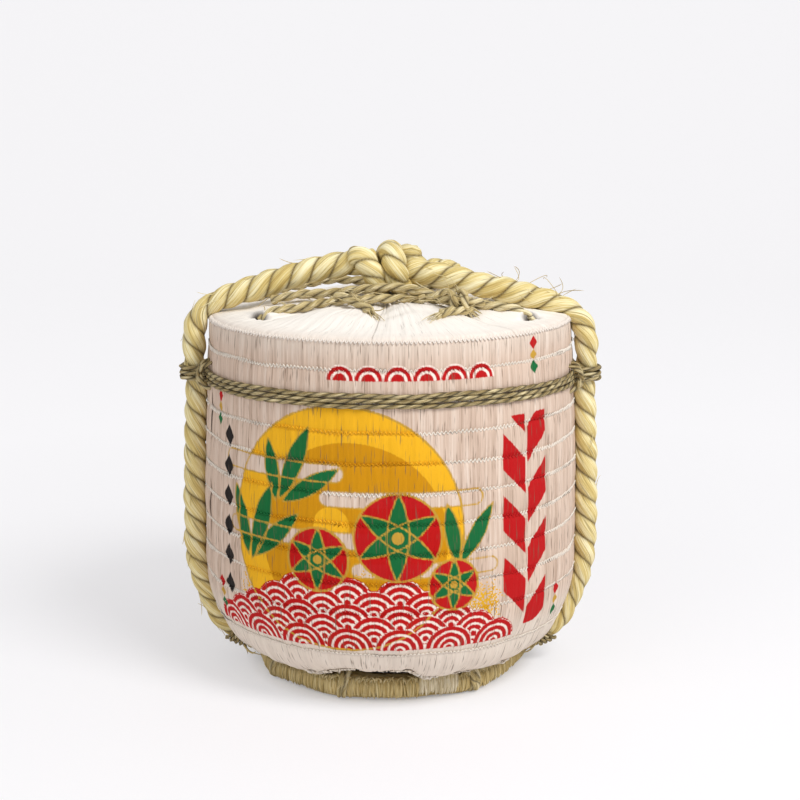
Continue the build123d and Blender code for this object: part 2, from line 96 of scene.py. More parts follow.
def makePiece(name, points, material, uv=None, fields=None, wrap=False, flip=False, weld=False):
    # Quads between neighbours of a (batch, rows, columns, 3) array in mm; wrap joins the last column to the first
    points = points.reshape(-1, *points.shape[-3:])
    batch, rows, columns = points.shape[:3]
    row = np.arange(rows - 1)[:, None]
    column = np.arange(columns if wrap else columns - 1)[None, :]
    after = (column + 1) % columns
    order = slice(None, None, -1 if flip else 1)
    quads = np.stack([row * columns + column, row * columns + after,
                      (row + 1) * columns + after, (row + 1) * columns + column], axis=-1)[..., order]
    faces = (quads[None] + (np.arange(batch) * rows * columns)[:, None, None, None]).reshape(-1, 4)
    mesh = bpy.data.meshes.new(name)
    mesh.from_pydata((points.reshape(-1, 3) * mm).tolist(), [], faces.tolist())
    mesh.polygons.foreach_set("use_smooth", np.ones(len(faces), bool))
    if uv is not None:
        uv = np.broadcast_to(uv.reshape(-1, *uv.shape[-3:]), (batch, *uv.shape[-3:]))
        step = column + 1
        corners = [uv[:, row, column], uv[:, row, step], uv[:, row + 1, step], uv[:, row + 1, column]]
        corners = np.stack(corners[order], axis=-2).reshape(-1, 4, 2)
        mesh.uv_layers.new(name="straw").data.foreach_set("uv", corners.astype(np.float32).ravel())
    for field, values in (fields or {}).items():
        spread = np.broadcast_to(values, (batch, rows, columns)).astype(np.float32).ravel()
        mesh.attributes.new(field, "FLOAT", "POINT").data.foreach_set("value", spread)
    piece = bpy.data.objects.new(name, mesh)
    bpy.context.collection.objects.link(piece)
    piece.data.materials.append(material)
    if weld:
        bm = bmesh.new()
        bm.from_mesh(mesh)
        bmesh.ops.remove_doubles(bm, verts=bm.verts, dist=weldGap)
        bmesh.ops.recalc_face_normals(bm, faces=bm.faces)
        bm.to_mesh(mesh)
        bm.free()
    mesh.update()
    return piece


def settle(piece, body, slot, *nodes):
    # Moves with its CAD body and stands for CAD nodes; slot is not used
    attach(piece, body)
    if nodes:
        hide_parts(*nodes)


def tubePiece(name, points, uv, material, body, slot, *nodes, **fields):
    # Closed tubes settled as one piece, with fields that the material reads
    settle(makePiece(name, points, material, uv, fields, wrap=True, weld=True), body, slot, *nodes)


def ripple(x, y, scale, seed):
    # Smooth wavering in -1..1: six plane waves of random heading, lengths near scale
    local = np.random.default_rng(seed)
    heading = local.uniform(0, tau, 6)
    length = scale * local.uniform(0.6, 1.7, 6)
    shift = local.uniform(0, tau, 6)
    waves = [np.sin(tau * (x * math.cos(h) + y * math.sin(h)) / l + s) for h, l, s in zip(heading, length, shift)]
    return sum(waves) / 3.2


def ringRipple(azimuth, scale, seed, radius=70):
    # Ripple along a ring, the mat's foot unless a radius is given
    return ripple(azimuth * radius, 0 * azimuth, scale, seed)


def smoothStep(low, high, x):
    # 3t^2 - 2t^3 with t from 0 at low to 1 at high
    t = np.clip((x - low) / (high - low), 0, 1)
    return t * t * (3 - 2 * t)


def bell(x, width, power=2):
    # exp(-|x/width|^power)
    return np.exp(-np.abs(x / width) ** power)


def unit(vectors):
    # Each vector over its own length
    return vectors / np.linalg.norm(vectors, axis=-1, keepdims=True)


def polar(radius, azimuth, height):
    # Point at a radius and azimuth in radians: x = r sin a, y = -r cos a
    radius, azimuth, height = np.broadcast_arrays(radius, azimuth, height)
    return np.stack([radius * np.sin(azimuth), -radius * np.cos(azimuth), height], axis=-1)


def padEnds(*grids):
    # Each grid with its first and last row doubled
    return [np.concatenate([grid[:1], grid, grid[-1:]]) for grid in grids]


def routeLength(route):
    # Length gone at each point
    return np.concatenate([[0], np.cumsum(np.linalg.norm(np.diff(route, axis=0), axis=1))])


def evenRoute(points, step):
    # The same line with points at equal steps of length
    run = routeLength(points)
    even = np.linspace(0, run[-1], max(4, int(round(run[-1] / step)) + 1))
    return np.stack([np.interp(even, run, points[:, axis]) for axis in range(3)], axis=-1)


def splineRoute(points, step):
    # A quadratic NURBS spline with these control points, read back and spaced evenly
    curve = bpy.data.curves.new("route", "CURVE")
    curve.dimensions = "3D"
    curve.resolution_u = 24
    spline = curve.splines.new("NURBS")
    spline.points.add(len(points) - 1)
    spline.points.foreach_set("co", np.column_stack([points, np.ones(len(points))]).astype(np.float32).ravel())
    spline.order_u = 3
    spline.use_endpoint_u = True
    holder = bpy.data.objects.new("route", curve)
    line = bpy.data.meshes.new_from_object(holder)
    route = np.empty(len(line.vertices) * 3, np.float32)
    line.vertices.foreach_get("co", route)
    bpy.data.objects.remove(holder)
    bpy.data.curves.remove(curve)
    bpy.data.meshes.remove(line)
    return evenRoute(route.reshape(-1, 3).astype(float), step)


def carry(route, lean, across, upward):
    # Section carried along a route: point = route + across * side + upward * lean squared to the route
    along = unit(np.gradient(route, axis=0))
    side = unit(np.cross(along, lean))
    rise = np.cross(side, along)
    return route[:, None] + across[..., None] * side[:, None] + upward[..., None] * rise[:, None]


def laidRope(route, lean, look, radius=None, startRun=0.0, roundStart=True, seed=1):
    # Laid strands: each strand is a circle set off from the axis, and the outline turns with the lay.
    # outline = c cos(a) + sqrt(l^2 - c^2 sin(a)^2), a counted from the strand's middle
    run = routeLength(route)[:, None] + startRun
    radius = np.full(len(route), look["radius"]) if radius is None else radius
    around = np.linspace(0, tau, look["columns"], endpoint=False)[None, :]
    turned = around - tau * run / look["pitch"]
    sector = tau / look["strands"]
    fromMiddle = (turned + sector / 2) % sector - sector / 2
    lobe, offset = look["lobe"], 1 - look["lobe"]
    outline, lowest = (offset * np.cos(angle) + np.sqrt(np.maximum(lobe ** 2 - (offset * np.sin(angle)) ** 2, 1e-6))
                       for angle in (fromMiddle, sector / 2))
    # Painted shade down in the lay: 0 on the crown of each strand, 1 where two strands meet
    crease = np.clip((1 - outline) / (1 - lowest), 0, 1)
    # Shade where neighbouring turns touch
    crease = np.maximum(crease, look["nestle"] * np.abs(np.sin(around)) ** 6)
    # Straws lie with the strand at strawLay 0 and with the rope at 1; each has its own height
    straw = fromMiddle / sector + look["strawLay"] * run * look["strands"] / look["pitch"]
    tones = np.random.default_rng(seed).uniform(-1, 1, 997)
    strand = np.floor((turned + sector / 2) / sector).astype(int)
    number = np.floor(straw * look["straws"]).astype(int) + 37 * strand
    ridge = np.abs(np.sin(math.pi * straw * look["straws"])) ** 0.7 - 0.5 + 0.6 * tones[number % len(tones)]
    swell = 1 + look["uneven"] * ripple(run, 3.0 * around, look["pitch"] * 1.3, seed)
    reach = radius[:, None] * outline * swell + look["ridge"] * ridge
    # Ends rounded off over 0.55 of the radius: reach * sqrt(1 - t^2)
    ends = [(run[-1] - run, radius[-1]), (run - run[0], radius[0])]
    for distance, size in ends if roundStart else ends[:1]:
        toEnd = 1 - np.clip(distance / (size * 0.55), 0, 1)
        reach = reach * np.sqrt(np.clip(1 - toEnd ** 2, 1e-4, 1))
    points = carry(route, lean, reach * np.cos(around), reach * np.sin(around))
    uv = np.stack([straw * sector * look["radius"] + 31.0 * strand, np.broadcast_to(run, straw.shape)], axis=-1)
    uv = np.concatenate([uv, uv[:, :1]], axis=1)
    points, uv, crease = padEnds(points, uv, crease)
    points[[0, -1]] = points[[0, -1]].mean(axis=1, keepdims=True)  # each end closed on its middle point
    return points, uv, crease


def ropePiece(name, skin, material, body, slot, *nodes):
    # A laid rope's points, uv and crease as one piece
    points, uv, crease = skin
    tubePiece(name, points, uv, material, body, slot, *nodes, crease=crease)


def roundTubes(routes, radius, count, taper=0.0):
    # Batch of plain tubes: circle of the radius about each route, thinner towards the far end by taper
    along = np.gradient(routes, axis=1)
    along /= np.linalg.norm(along, axis=-1, keepdims=True) + 1e-12
    side = unit(np.cross(along, np.where(np.abs(along[..., 2:3]) > 0.9, [1.0, 0.0, 0.0], upright)))
    rise = np.cross(side, along)
    around = np.linspace(0, tau, count, endpoint=False)
    share = np.linspace(0, 1, routes.shape[1])
    size = np.broadcast_to(radius, routes.shape[:1])[:, None] * (1 - taper * share)
    size[:, [0, -1]] *= 0.02  # ends drawn nearly to a point
    ring = np.cos(around)[:, None] * side[:, :, None] + np.sin(around)[:, None] * rise[:, :, None]
    run = share[None, :] * np.linalg.norm(routes[:, -1] - routes[:, 0], axis=-1)[:, None]
    # Each straw takes its own streaks of the material
    across = np.arange(count + 1) * 0.4 + 7.3 * np.arange(len(routes))[:, None, None]
    uv = np.stack(np.broadcast_arrays(across, run[..., None]), axis=-1)
    return routes[:, :, None] + size[..., None, None] * ring, uv


def strawPiece(name, routes, radius, count, taper, material, body, slot, **fields):
    # A batch of single straws or threads as one piece
    tubePiece(name, *roundTubes(routes, radius, count, taper), material, body, slot, **{"crease": noShade, **fields})


def looseLines(points, count, length, seed):
    # Straws worked loose from a cord: each starts on its skin, runs along it and lifts away by the square of the run
    local = np.random.default_rng(seed)
    points = points.reshape(-1, *points.shape[-3:])
    batch, rows, columns = points.shape[:3]
    middle = points.mean(axis=2)
    which, row, column = (local.integers(low, high, count) for low, high in ((0, batch), (2, rows - 8), (0, columns)))
    start = points[which, row, column]
    along = unit(middle[which, row + 4] - middle[which, row])
    out = unit(start - middle[which, row])
    size = (length * local.uniform(0.4, 1.2, count) * local.choice([-1.0, 1.0], count))[:, None, None]
    share = np.linspace(0, 1, 8)[None, :, None]
    drift = local.normal(0, 0.22, (count, 1, 3)) + 0.25 * out[:, None] * np.sign(size)
    return start[:, None] + share * size * along[:, None] + share ** 2 * size * drift


def frayedLines(points, count, length, seed):
    # Straws that carry on from a cord's far end, spread apart and sinking by the square of the run
    local = np.random.default_rng(seed)
    middle = points.mean(axis=1)
    start = middle[-8] + local.normal(0, 0.7, (count, 3))
    heading = unit(middle[-4] - middle[-10]) + local.normal(0, 0.24, (count, 3))
    share = np.linspace(0, 1, 8)[None, :, None]
    size = (length * local.uniform(0.6, 1.2, count))[:, None, None]
    return start[:, None] + share * size * heading[:, None] - share ** 2 * 2.2 * upright


def bowedLines(start, end, bow, count, local):
    # Lines from start to end, bowed aside by 4t(1 - t) times a random push
    share = np.linspace(0, 1, count)[None, :, None]
    push = local.normal(0, bow, (len(start), 1, 3)) * (share * (1 - share) * 4)
    return start[:, None] * (1 - share) + end[:, None] * share + push


def pressedBack(points, route, reach):
    # A point nearer to the route than reach moves straight away from it until it is that far
    flat = points.reshape(-1, 3)
    near = np.flatnonzero(np.all((flat > route.min(0) - 12) & (flat < route.max(0) + 12), axis=1))
    gaps = flat[near][:, None] - route[None]
    distance = np.linalg.norm(gaps, axis=-1)
    closest = distance.argmin(axis=1)
    pick = np.arange(len(near))
    gap = distance[pick, closest][:, None]
    limit = reach[closest][:, None]
    moved = flat.copy()
    pushed = route[closest] + gaps[pick, closest] / np.maximum(gap, 1e-6) * limit
    moved[near] = np.where(gap < limit, pushed, flat[near])
    return moved.reshape(points.shape)


# Camera at the photograph's height, distance and pitch
camera = {"place": (0.0049, -0.800, 0.3034), "pitch": 11.67, "focalPixels": 1570.0, "frame": 800.0, "sensor": 36.0}
lens = bpy.data.cameras.new("photoCamera")
lens.sensor_width = camera["sensor"]
lens.lens = camera["focalPixels"] / camera["frame"] * camera["sensor"]
viewer = bpy.data.objects.new("photoCamera", lens)
viewer.location = camera["place"]
viewer.rotation_euler = (math.radians(90 - camera["pitch"]), 0, 0)
bpy.context.collection.objects.link(viewer)
bpy.context.scene.camera = viewer
bpy.context.scene.view_settings.view_transform = "Standard"


# Materials

def strawMaterial(name, look):
    # Dried straw along v of the uv map, which is in mm: fine streaks, slow drift of tone, painted shade in the gaps
    # between straws and down in the lay in the look's deep colour, with a soft dull shine; lime and inks lie over it
    # where the look has them
    material, tree = newMaterial(name)
    uv = addNode(tree, "UVMap", uv_map="straw")
    noises = []
    for wide, long, place, detail, rough in look["noises"]:
        at = addNode(tree, "Mapping", {"Vector": uv, "Location": place,
                                       "Scale": (wide / look["width"], long / look["length"], 1)})
        noises.append(addNode(tree, "TexNoise", {"Vector": at, "Scale": 1.0, "Detail": detail, "Roughness": rough}))
    fine, slow, gaps = noises
    drift = addNode(tree, "Math", {0: slow, 1: look["drift"]}, operation="MULTIPLY")
    tone = addNode(tree, "Math", {0: fine, 1: 0.5, 2: drift}, operation="MULTIPLY_ADD")
    surface = addNode(tree, "ValToRGB", {"Fac": tone},
                      stops=[(0.36, look["dark"]), (0.5, look["middle"]), (0.64, look["light"])])
    covers = []
    if "lime" in look:
        covers.append((addNode(tree, "Attribute", out="Fac", attribute_name="lime"), look["lime"]))
    for layer, colour in look["inks"]:
        # Ink covers where its signed distance is below zero, with a ragged edge along the straws
        distance = addNode(tree, "Attribute", out="Fac", attribute_name=layer)
        ragged = addNode(tree, "Math", {0: fine, 1: 1.1, 2: distance}, operation="MULTIPLY_ADD")
        covers.append((addNode(tree, "MapRange", {0: ragged, 1: 0.85, 2: 0.35, 3: 0.0, 4: look["cover"]}), colour))
    if look["inks"]:
        # Gold dust: grains of about 0.7 mm, kept where the grain noise is below the density
        grain = addNode(tree, "VectorMath", {0: uv, 1: (0.7, 0.7, 0.7)}, operation="SNAP")
        grains = addNode(tree, "TexWhiteNoise", {"Vector": grain}, noise_dimensions="2D")
        dust = addNode(tree, "Attribute", out="Fac", attribute_name="dust")
        covers.append((addNode(tree, "Math", {0: grains, 1: dust}, operation="LESS_THAN"), look["dust"]))
    # Painted shade: the crease field and the gaps between straws mix towards the deep colour; some pieces also put
    # random darker straws in the crease field
    crease = addNode(tree, "Attribute", out="Fac", attribute_name="crease")
    depth = addNode(tree, "Math", {0: crease, 1: look["sharp"]}, operation="POWER", use_clamp=True)
    cracks = addNode(tree, "MapRange", {0: gaps, 1: look["gapFrom"], 2: look["gapTo"], 3: 0.0, 4: look["gaps"]})
    covers.append((addNode(tree, "Math", {0: depth, 1: cracks}, operation="MAXIMUM"), look["deep"]))
    for share, colour in covers:
        surface = addNode(tree, "Mix", {0: share, 6: surface, 7: linearColour(colour)}, out=2, data_type="RGBA")
    heights = addNode(tree, "Math", {0: gaps, 1: look["gapRelief"], 2: fine}, operation="MULTIPLY_ADD")
    relief = addNode(tree, "Bump", {"Height": heights, "Strength": look["bump"], "Distance": look["bumpDepth"]})
    shader = addNode(tree, "BsdfPrincipled", {"Base Color": surface, "Roughness": look["roughness"],
                                              "Specular IOR Level": look["shine"], "Normal": relief})
    addNode(tree, "OutputMaterial", {"Surface": shader})
    return material


# Noises are fine, slow and gap, each with its scale across and along a straw, place, detail and roughness
cordLook = {
    "noises": [(1, 1, (0, 0, 0), 4.0, 0.62), (0.16, 0.3, (0, 0, 0), 2.0, 0.5), (0.8, 0.9, (5.3, 2.1, 0), 2.0, 0.5)],
    "drift": 0.55, "gapFrom": 0.42, "gapTo": 0.31, "gapRelief": 0.8, "bumpDepth": 0.0005, "shine": 0.35, "inks": []}
# Fresh rice straw, twisted by hand: pale yellow-green, silky on the crown of each strand, with painted shade in deep
# brown down in the lay
ropeStraw = strawMaterial("rice_straw_rope", dict(
    cordLook, dark="#B29147", middle="#DDC781", light="#FAF0C6", deep="#573F0E", gaps=0.6, width=0.7, length=17.0,
    bump=0.75, roughness=0.55, sharp=4.2))
# Older straw of thin two-ply cord: khaki brown, dull
cordStraw = strawMaterial("straw_cord", dict(
    cordLook, dark="#534220", middle="#9A8556", light="#E0D0A3", deep="#150E05", gaps=0.55, width=0.4, length=8.0,
    bump=0.6, roughness=0.68, sharp=1.9))
# Loose two-ply straw of the lacing: paler and fuzzy
lacingStraw = strawMaterial("loose_straw_cord", dict(
    cordLook, dark="#957E4A", middle="#C8B47F", light="#F2E5BE", deep="#463512", gaps=0.6, width=0.5, length=9.0,
    bump=0.7, roughness=0.7, sharp=2.2))
# Bundled straw of the foot: tan and olive, coarse
footStraw = strawMaterial("bundled_straw", dict(
    cordLook, dark="#8A733D", middle="#C4AB70", light="#E6D5A3", deep="#3B2D14", gaps=0.6, width=0.8, length=14.0,
    bump=0.7, roughness=0.7, sharp=1.8))
# Limed straw ends and thread: off-white, chalky
limedStraw = strawMaterial("limed_straw", dict(
    cordLook, dark="#C2B29F", middle="#E2D7C8", light="#F3EDE4", deep="#8A7966", gaps=0.3, width=0.5, length=6.0,
    bump=0.3, roughness=0.8, sharp=1.5))
# Limed straw rubbed at the foot: cream, with tan showing through
rubbedStraw = strawMaterial("rubbed_limed_straw", dict(
    cordLook, dark="#B39F76", middle="#D8C9A6", light="#F0E6CF", deep="#77643F", gaps=0.5, width=0.6, length=8.0,
    bump=0.5, roughness=0.75, sharp=1.5))

# Side of the mat: limed and slightly pink straw about 1 mm wide, printed in seven inks
inkLayers = [("inkYellow", "#E9AE1C"), ("inkOchre", "#C98B0E"), ("inkRed", "#B60C12"), ("inkGreen", "#0A6636"),
             ("inkGold", "#C09638"), ("inkPale", "#F1E4D8"), ("inkBlack", "#1E1A1A")]
plainLook = {
    "noises": [(1, 1, (0, 0, 0), 3.0, 0.6), (0.22, 0.2, (0, 0, 0), 3.0, 0.5), (1.25, 34 / 13, (3.1, 7.7, 0), 2.0, 0.5)],
    "width": 1.0, "length": 34.0, "drift": 0.5, "dark": "#B39A88", "middle": "#D1B9A7", "light": "#E2D0C1",
    "lime": "#E9E1D5", "deep": "#6B5646", "gapFrom": 0.40, "gapTo": 0.31, "gaps": 0.7, "sharp": 1.0, "gapRelief": 0.5,
    "bump": 0.45, "bumpDepth": 0.0004, "roughness": 0.8, "shine": 0.12, "inks": []}
printedMat = strawMaterial("printed_straw_mat", dict(plainLook, inks=inkLayers, cover=0.99, dust="#D9A52A"))
plainMat = strawMaterial("plain_straw_mat", plainLook)
# Top of the mat: the same straw limed white, streaks running to the middle, with a darker deep colour for its painted
# shade, darkest in the lacing's eyes
topMat = strawMaterial("limed_straw_mat", dict(
    plainLook, lime="#F8F4ED", deep="#32271B", gapFrom=0.37, gapTo=0.28, gaps=0.32))


def woodMaterial(name, grain, dark, middle, light, roughness):
    # Planed wood: long bands of early and late wood along the grain axis, with fine pores; grain is in mm
    material, tree = newMaterial(name)
    at = addNode(tree, "Mapping", {"Vector": addNode(tree, "TexCoord", out="Object"),
                                   "Scale": tuple(1 / (size * mm) for size in grain)})
    bands = addNode(tree, "TexNoise", {"Vector": at, "Scale": 1.0, "Detail": 5.0, "Distortion": 0.4})
    colours = addNode(tree, "ValToRGB", {"Fac": bands}, stops=[(0.34, dark), (0.5, middle), (0.66, light)])
    relief = addNode(tree, "Bump", {"Height": bands, "Strength": 0.25, "Distance": 0.0003})
    shader = addNode(tree, "BsdfPrincipled", {"Base Color": colours, "Roughness": roughness, "Normal": relief})
    addNode(tree, "OutputMaterial", {"Surface": shader})
    return material


# Planed sugi cedar: straw pink with tight darker growth lines, upright in the staves, front to back in the boards
staveCedar = woodMaterial("planed_cedar_staves", (2.6, 2.6, 130.0), "#C0946A", "#D0A77D", "#DDBB95", 0.6)
boardCedar = woodMaterial("planed_cedar_boards", (2.4, 130.0, 4.0), "#C1966B", "#D2AA80", "#E0BE98", 0.6)
# Cedar pegs and the turned bung: end-worn, a little browner
dowelCedar = woodMaterial("cedar_dowel", (60.0, 1.5, 1.5), "#A87A4E", "#C29467", "#D8B288", 0.65)
bungWood = woodMaterial("turned_bung_wood", (1.4, 1.4, 60.0), "#A77C52", "#B98C60", "#C9A075", 0.5)
# Split bamboo twisted to a hoop: green skin gone tan, fine lengthwise fibres, a little gloss
bambooSkin = woodMaterial("split_bamboo", (26.0, 26.0, 0.9), "#7F7A3E", "#A39A56", "#C2B878", 0.42)
# Loose straw packed round the tub: upright pale stalks
packedStraw = woodMaterial("packed_straw", (1.4, 1.4, 40.0), "#9C8748", "#C8B478", "#E0D2A0", 0.8)
finishes = {"stave": staveCedar, "bottom_board": boardCedar, "lid_board": boardCedar, "bottom_dowels": dowelCedar,
            "lid_dowels": dowelCedar, "lid_bung": bungWood, "bamboo": bambooSkin, "straw_packing": packedStraw}
for node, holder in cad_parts.items():
    for start, finish in finishes.items():
        if node.startswith(start):
            holder.data.materials.clear()
            holder.data.materials.append(finish)
print("materials done")

# Mat outline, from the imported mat's own box
mat = {"bellyHeight": 60.0, "taper": 4.5, "haunchInset": 7.8, "haunchRise": 12.6, "footInset": 29.0, "lipRise": 2.7,
       "footShort": 3.2, "rowGap": 14.5, "firstRow": 11.5, "lastRow": 150.5, "puff": 0.5, "furrow": 0.4, "waver": 0.35,
       "sink": 0.55, "gapLift": 2.0, "gapRise": 4.2, "gapFrom": -22.0, "gapTo": 10.0, "footLip": (0.6, 3.0, 8.0, 15.0),
       "frontHalf": 70.0, "frontStep": 0.85, "backStep": 1.5}


def cadCorners(node):
    # Low and high corners of a CAD node's box, in mm
    return [np.array(corner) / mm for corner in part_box(node)]


matLow, matHigh = cadCorners("straw_mat")
bellyRadius, matTop = matHigh[[0, 2]]
topRadius = bellyRadius - mat["taper"]
footPlace = np.array([bellyRadius - mat["footInset"], matLow[2] + mat["lipRise"]])
haunchPlace = np.array([bellyRadius - mat["haunchInset"], footPlace[1] + mat["haunchRise"]])


def bendThrough(start, heading, end):
    # Radius of the arc that leaves start along heading and reaches end: chord^2 / (2 * offset)
    chord = np.subtract(end, start)
    return chord @ chord / (2 * abs(heading[0] * chord[1] - heading[1] * chord[0]))


def matLine():
    # Side, haunch and foot arcs in one line from the top down, as run, radius, height and outward direction
    belly = np.array([bellyRadius, mat["bellyHeight"]])
    sideBend = bendThrough(belly, (0, 1), (topRadius, matTop))
    haunchBend = bendThrough(belly, (0, -1), haunchPlace)
    haunchTurn = math.atan2(haunchPlace[1] - belly[1], haunchPlace[0] - belly[0] + haunchBend)
    footBend = bendThrough(haunchPlace, (math.sin(haunchTurn), -math.cos(haunchTurn)), footPlace)
    footMiddle = haunchPlace - footBend * np.array([math.cos(haunchTurn), math.sin(haunchTurn)])
    footTurn = math.atan2(footPlace[1] - footMiddle[1], footPlace[0] - footMiddle[0])
    lines, turns = [], []
    for middle, bend, first, last in [
            (belly - [sideBend, 0], sideBend, math.asin((matTop - belly[1]) / sideBend), 0.0),
            (belly - [haunchBend, 0], haunchBend, 0.0, haunchTurn), (footMiddle, footBend, haunchTurn, footTurn)]:
        turns.append(np.linspace(first, last, 240))
        lines.append(middle + bend * np.stack([np.cos(turns[-1]), np.sin(turns[-1])], axis=-1))
    line = np.concatenate(lines)
    return routeLength(line), line[:, 0], line[:, 1], np.concatenate(turns)


lineRun, lineRadius, lineHeight, lineTurn = matLine()
matRun = lineRun[-1]
rowPlaces = np.array([*np.arange(mat["firstRow"], 142, mat["rowGap"]), mat["lastRow"]])


def footGap(azimuth):
    # 1 where the mat's edge is cut shorter over the foot, 0 elsewhere
    degrees = (np.degrees(azimuth) + 180) % 360 - 180
    first, last = mat["gapFrom"], mat["gapTo"]
    return smoothStep(first - 9, first + 9, degrees) * smoothStep(last + 4, last - 4, degrees)


def outlineAt(run, lift):
    # Radius, height and outward turn of the outline at a run from the top edge, lifted off its surface
    turn, radius, height = (np.interp(run, lineRun, part) for part in (lineTurn, lineRadius, lineHeight))
    return radius + lift * np.cos(turn), height + lift * np.sin(turn), turn


def onMat(run, azimuth, lift):
    # Point on the mat at a run, an azimuth in radians and a lift, tucked up over the short stretch of the foot
    radius, height = outlineAt(run, lift)[:2]
    tuck = mat["gapRise"] * footGap(azimuth) * smoothStep(matRun - 34, matRun - 6, run)
    return polar(radius, azimuth, height + tuck)


def matRelief(run, azimuth):
    # Straw puffs between stitch rows, draws in at each row and wavers: puff * sqrt(sin) - furrow * bell + ripple
    across = azimuth * bellyRadius
    below = np.searchsorted(rowPlaces, run, side="right")
    upper = np.concatenate([[-8.0], rowPlaces])[below]
    lower = np.concatenate([rowPlaces, [matRun + 6]])[below]
    share = np.clip((run - upper) / (lower - upper), 0, 1)
    puff = mat["puff"] * np.sqrt(np.sin(math.pi * share))
    furrow = mat["furrow"] * bell(np.minimum(np.abs(run - upper), np.abs(lower - run)), 0.9)
    straws = 0.10 * np.sin(tau * across / 3.1 + 2.0 * ripple(across, run * 0.2, 17, 3))
    straws = straws + 0.16 * ripple(across, run * 0.12, 6.5, 4)
    slack = mat["waver"] * ripple(across, run, 42, 5)
    slack = slack + 0.9 * smoothStep(150, matRun, run) * ripple(across, 0 * run, 24, 6)
    return puff - furrow + straws + slack - mat["sink"]


# Heavy rope: routes in the CAD's rope plane, split under the band where the top lifts off
heavyRope = {"radius": 6.3, "nestle": 0.0, "strands": 2, "lobe": 0.83, "pitch": 22.5, "straws": 13, "strawLay": 0.62,
             "ridge": 0.16, "uneven": 0.045, "columns": 64, "step": 0.8, "bed": 5.1, "sideSize": 0.95, "squeeze": 0.86,
             "left": [(-99.9, 158), (-99.9, 168), (-99.4, 179), (-95.3, 188.0), (-84, 193.6), (-66, 199.4),
                      (-46, 205.6), (-28, 210.3), (-6, 213)],
             "right": [(99.9, 158), (99.9, 168), (99.2, 177), (95.0, 185.3), (84, 191.0), (66, 195.4),
                       (46, 200.0), (28, 204.4), (6, 208)]}
ropeLow, ropeHigh = cadCorners("rope_lower_right")
ropePlane = (ropeLow[1] + ropeHigh[1]) / 2
joinHeight = ropeHigh[2]
joinRun = np.interp(-joinHeight, -lineHeight, lineRun)
sideLean = np.array([0.0, 1.0, 0.0])


def heavyRadius(run, height):
    # Rope thins where the band grips it and where it turns over the shoulder
    thin = (1 - heavyRope["squeeze"]) * np.maximum(bell(height - joinHeight, 9.0), bell(run - 32.0, 12.0))
    return heavyRope["radius"] * (1 + 0.05 * smoothStep(46, 60, run) - thin)


def besideMat(run, lift, sign):
    # Line down the side in the rope's plane, x = sqrt(reach^2 - plane^2), and its outward turn
    reach, height, turn = outlineAt(run, lift)
    return np.stack([sign * np.sqrt(reach ** 2 - ropePlane ** 2), 0 * run + ropePlane, height], axis=-1), turn


upperRoutes, ropeSkins = [], {"top_rope": [], "barrel": []}
for side, sign in sides:
    route = splineRoute(np.array([(x, ropePlane, z) for x, z in heavyRope[side]], float), heavyRope["step"])
    run = routeLength(route)
    radius = heavyRadius(run, np.where(run < 40, route[:, 2], 999))
    upperRoutes.append((route, radius))
    skin = laidRope(route, sideLean, heavyRope, radius, roundStart=False, seed=11)
    ropeSkins["top_rope"].append(skin[0])
    ropePiece(f"heavy_rope_top_{side}", skin, ropeStraw, "top_rope", "rope_straw", f"rope_upper_{side}")
    low = np.linspace(joinRun, matRun - 0.5, 400)
    bed = 2.0 * smoothStep(matRun - 70, matRun - 30, low) + 2.2 * smoothStep(matRun - 30, matRun, low)
    line = besideMat(low, heavyRope["bed"] - bed, sign)[0]
    line[0, 2] = joinHeight
    route = evenRoute(line, heavyRope["step"])
    left = routeLength(route)[-1] - routeLength(route)
    thin = 0.22 * smoothStep(72, 30, left) + 0.33 * smoothStep(30, 0, left)
    radius = heavyRope["sideSize"] * heavyRadius(0 * left, route[:, 2]) * (1 - thin)
    skin = laidRope(route, -sideLean, heavyRope, radius, roundStart=False, seed=12)
    ropeSkins["barrel"].append(skin[0])
    ropePiece(f"heavy_rope_side_{side}", skin, ropeStraw, "barrel", "rope_straw", f"rope_lower_{side}")
for body, name, seed in (("top_rope", "heavy_rope_top_wisps", 15), ("barrel", "heavy_rope_side_wisps", 16)):
    lines = [looseLines(skin, 16, 9.0, seed + 2 * number) for number, skin in enumerate(ropeSkins[body])]
    strawPiece(name, np.concatenate(lines), 0.22, 4, 0.5, ropeStraw, body, "rope_straw")
print("heavy rope done")


def clearOfRope(points, overlap=0.0):
    # Straw pressed back by the ropes over the top, which sink into it by overlap
    for route, radius in upperRoutes:
        points = pressedBack(points, route, radius - overlap)
    return points


# Knot of the heavy rope: two turns about X with a cut stub in front on the left and a tail behind on the right
knot = {"turns": 1.75, "pitch": 10.4, "lay": 15.0, "bend": 8.364, "lift": 208.4, "middle": 1.5,
        "stub": [(-20.5, -14.0, 214.0), (-14.5, -17.0, 216.0)],
        "tail": [(14.5, -5.0, 204.0), (20, 0.0, 206.0), (28, 2.0, 207.5), (36, 2.0, 205.5)]}
turn = np.linspace(0, knot["turns"], int(knot["turns"] * 14) + 1)
swing = math.pi + tau * turn
coil = np.stack([knot["middle"] + knot["pitch"] * (turn - knot["turns"] / 2),
                 ropePlane + knot["bend"] * np.cos(swing), knot["lift"] + knot["bend"] * np.sin(swing)], axis=-1)
route = splineRoute(np.concatenate([knot["stub"], coil[1:-1], knot["tail"]]), heavyRope["step"])
lean = (route - np.array([0.0, ropePlane, knot["lift"]])) * [0.0, 1.0, 1.0] + 1e-6
run = routeLength(route)
radius = heavyRope["radius"] * (0.99 - 0.35 * smoothStep(run[-1] - 22, run[-1], run))
skin = laidRope(route, lean, dict(heavyRope, pitch=knot["lay"]), radius, 5.0, seed=13)
ropePiece("heavy_rope_knot", skin, ropeStraw, "top_rope", "rope_straw", "rope_knot")
print("knot done")


# Print on the mat's front: a plain seasonal design of sun, mist, waves, leaves and thread balls.
# Places are (across, up) in mm on the unrolled mat, up counted as the mat's top height less the run.

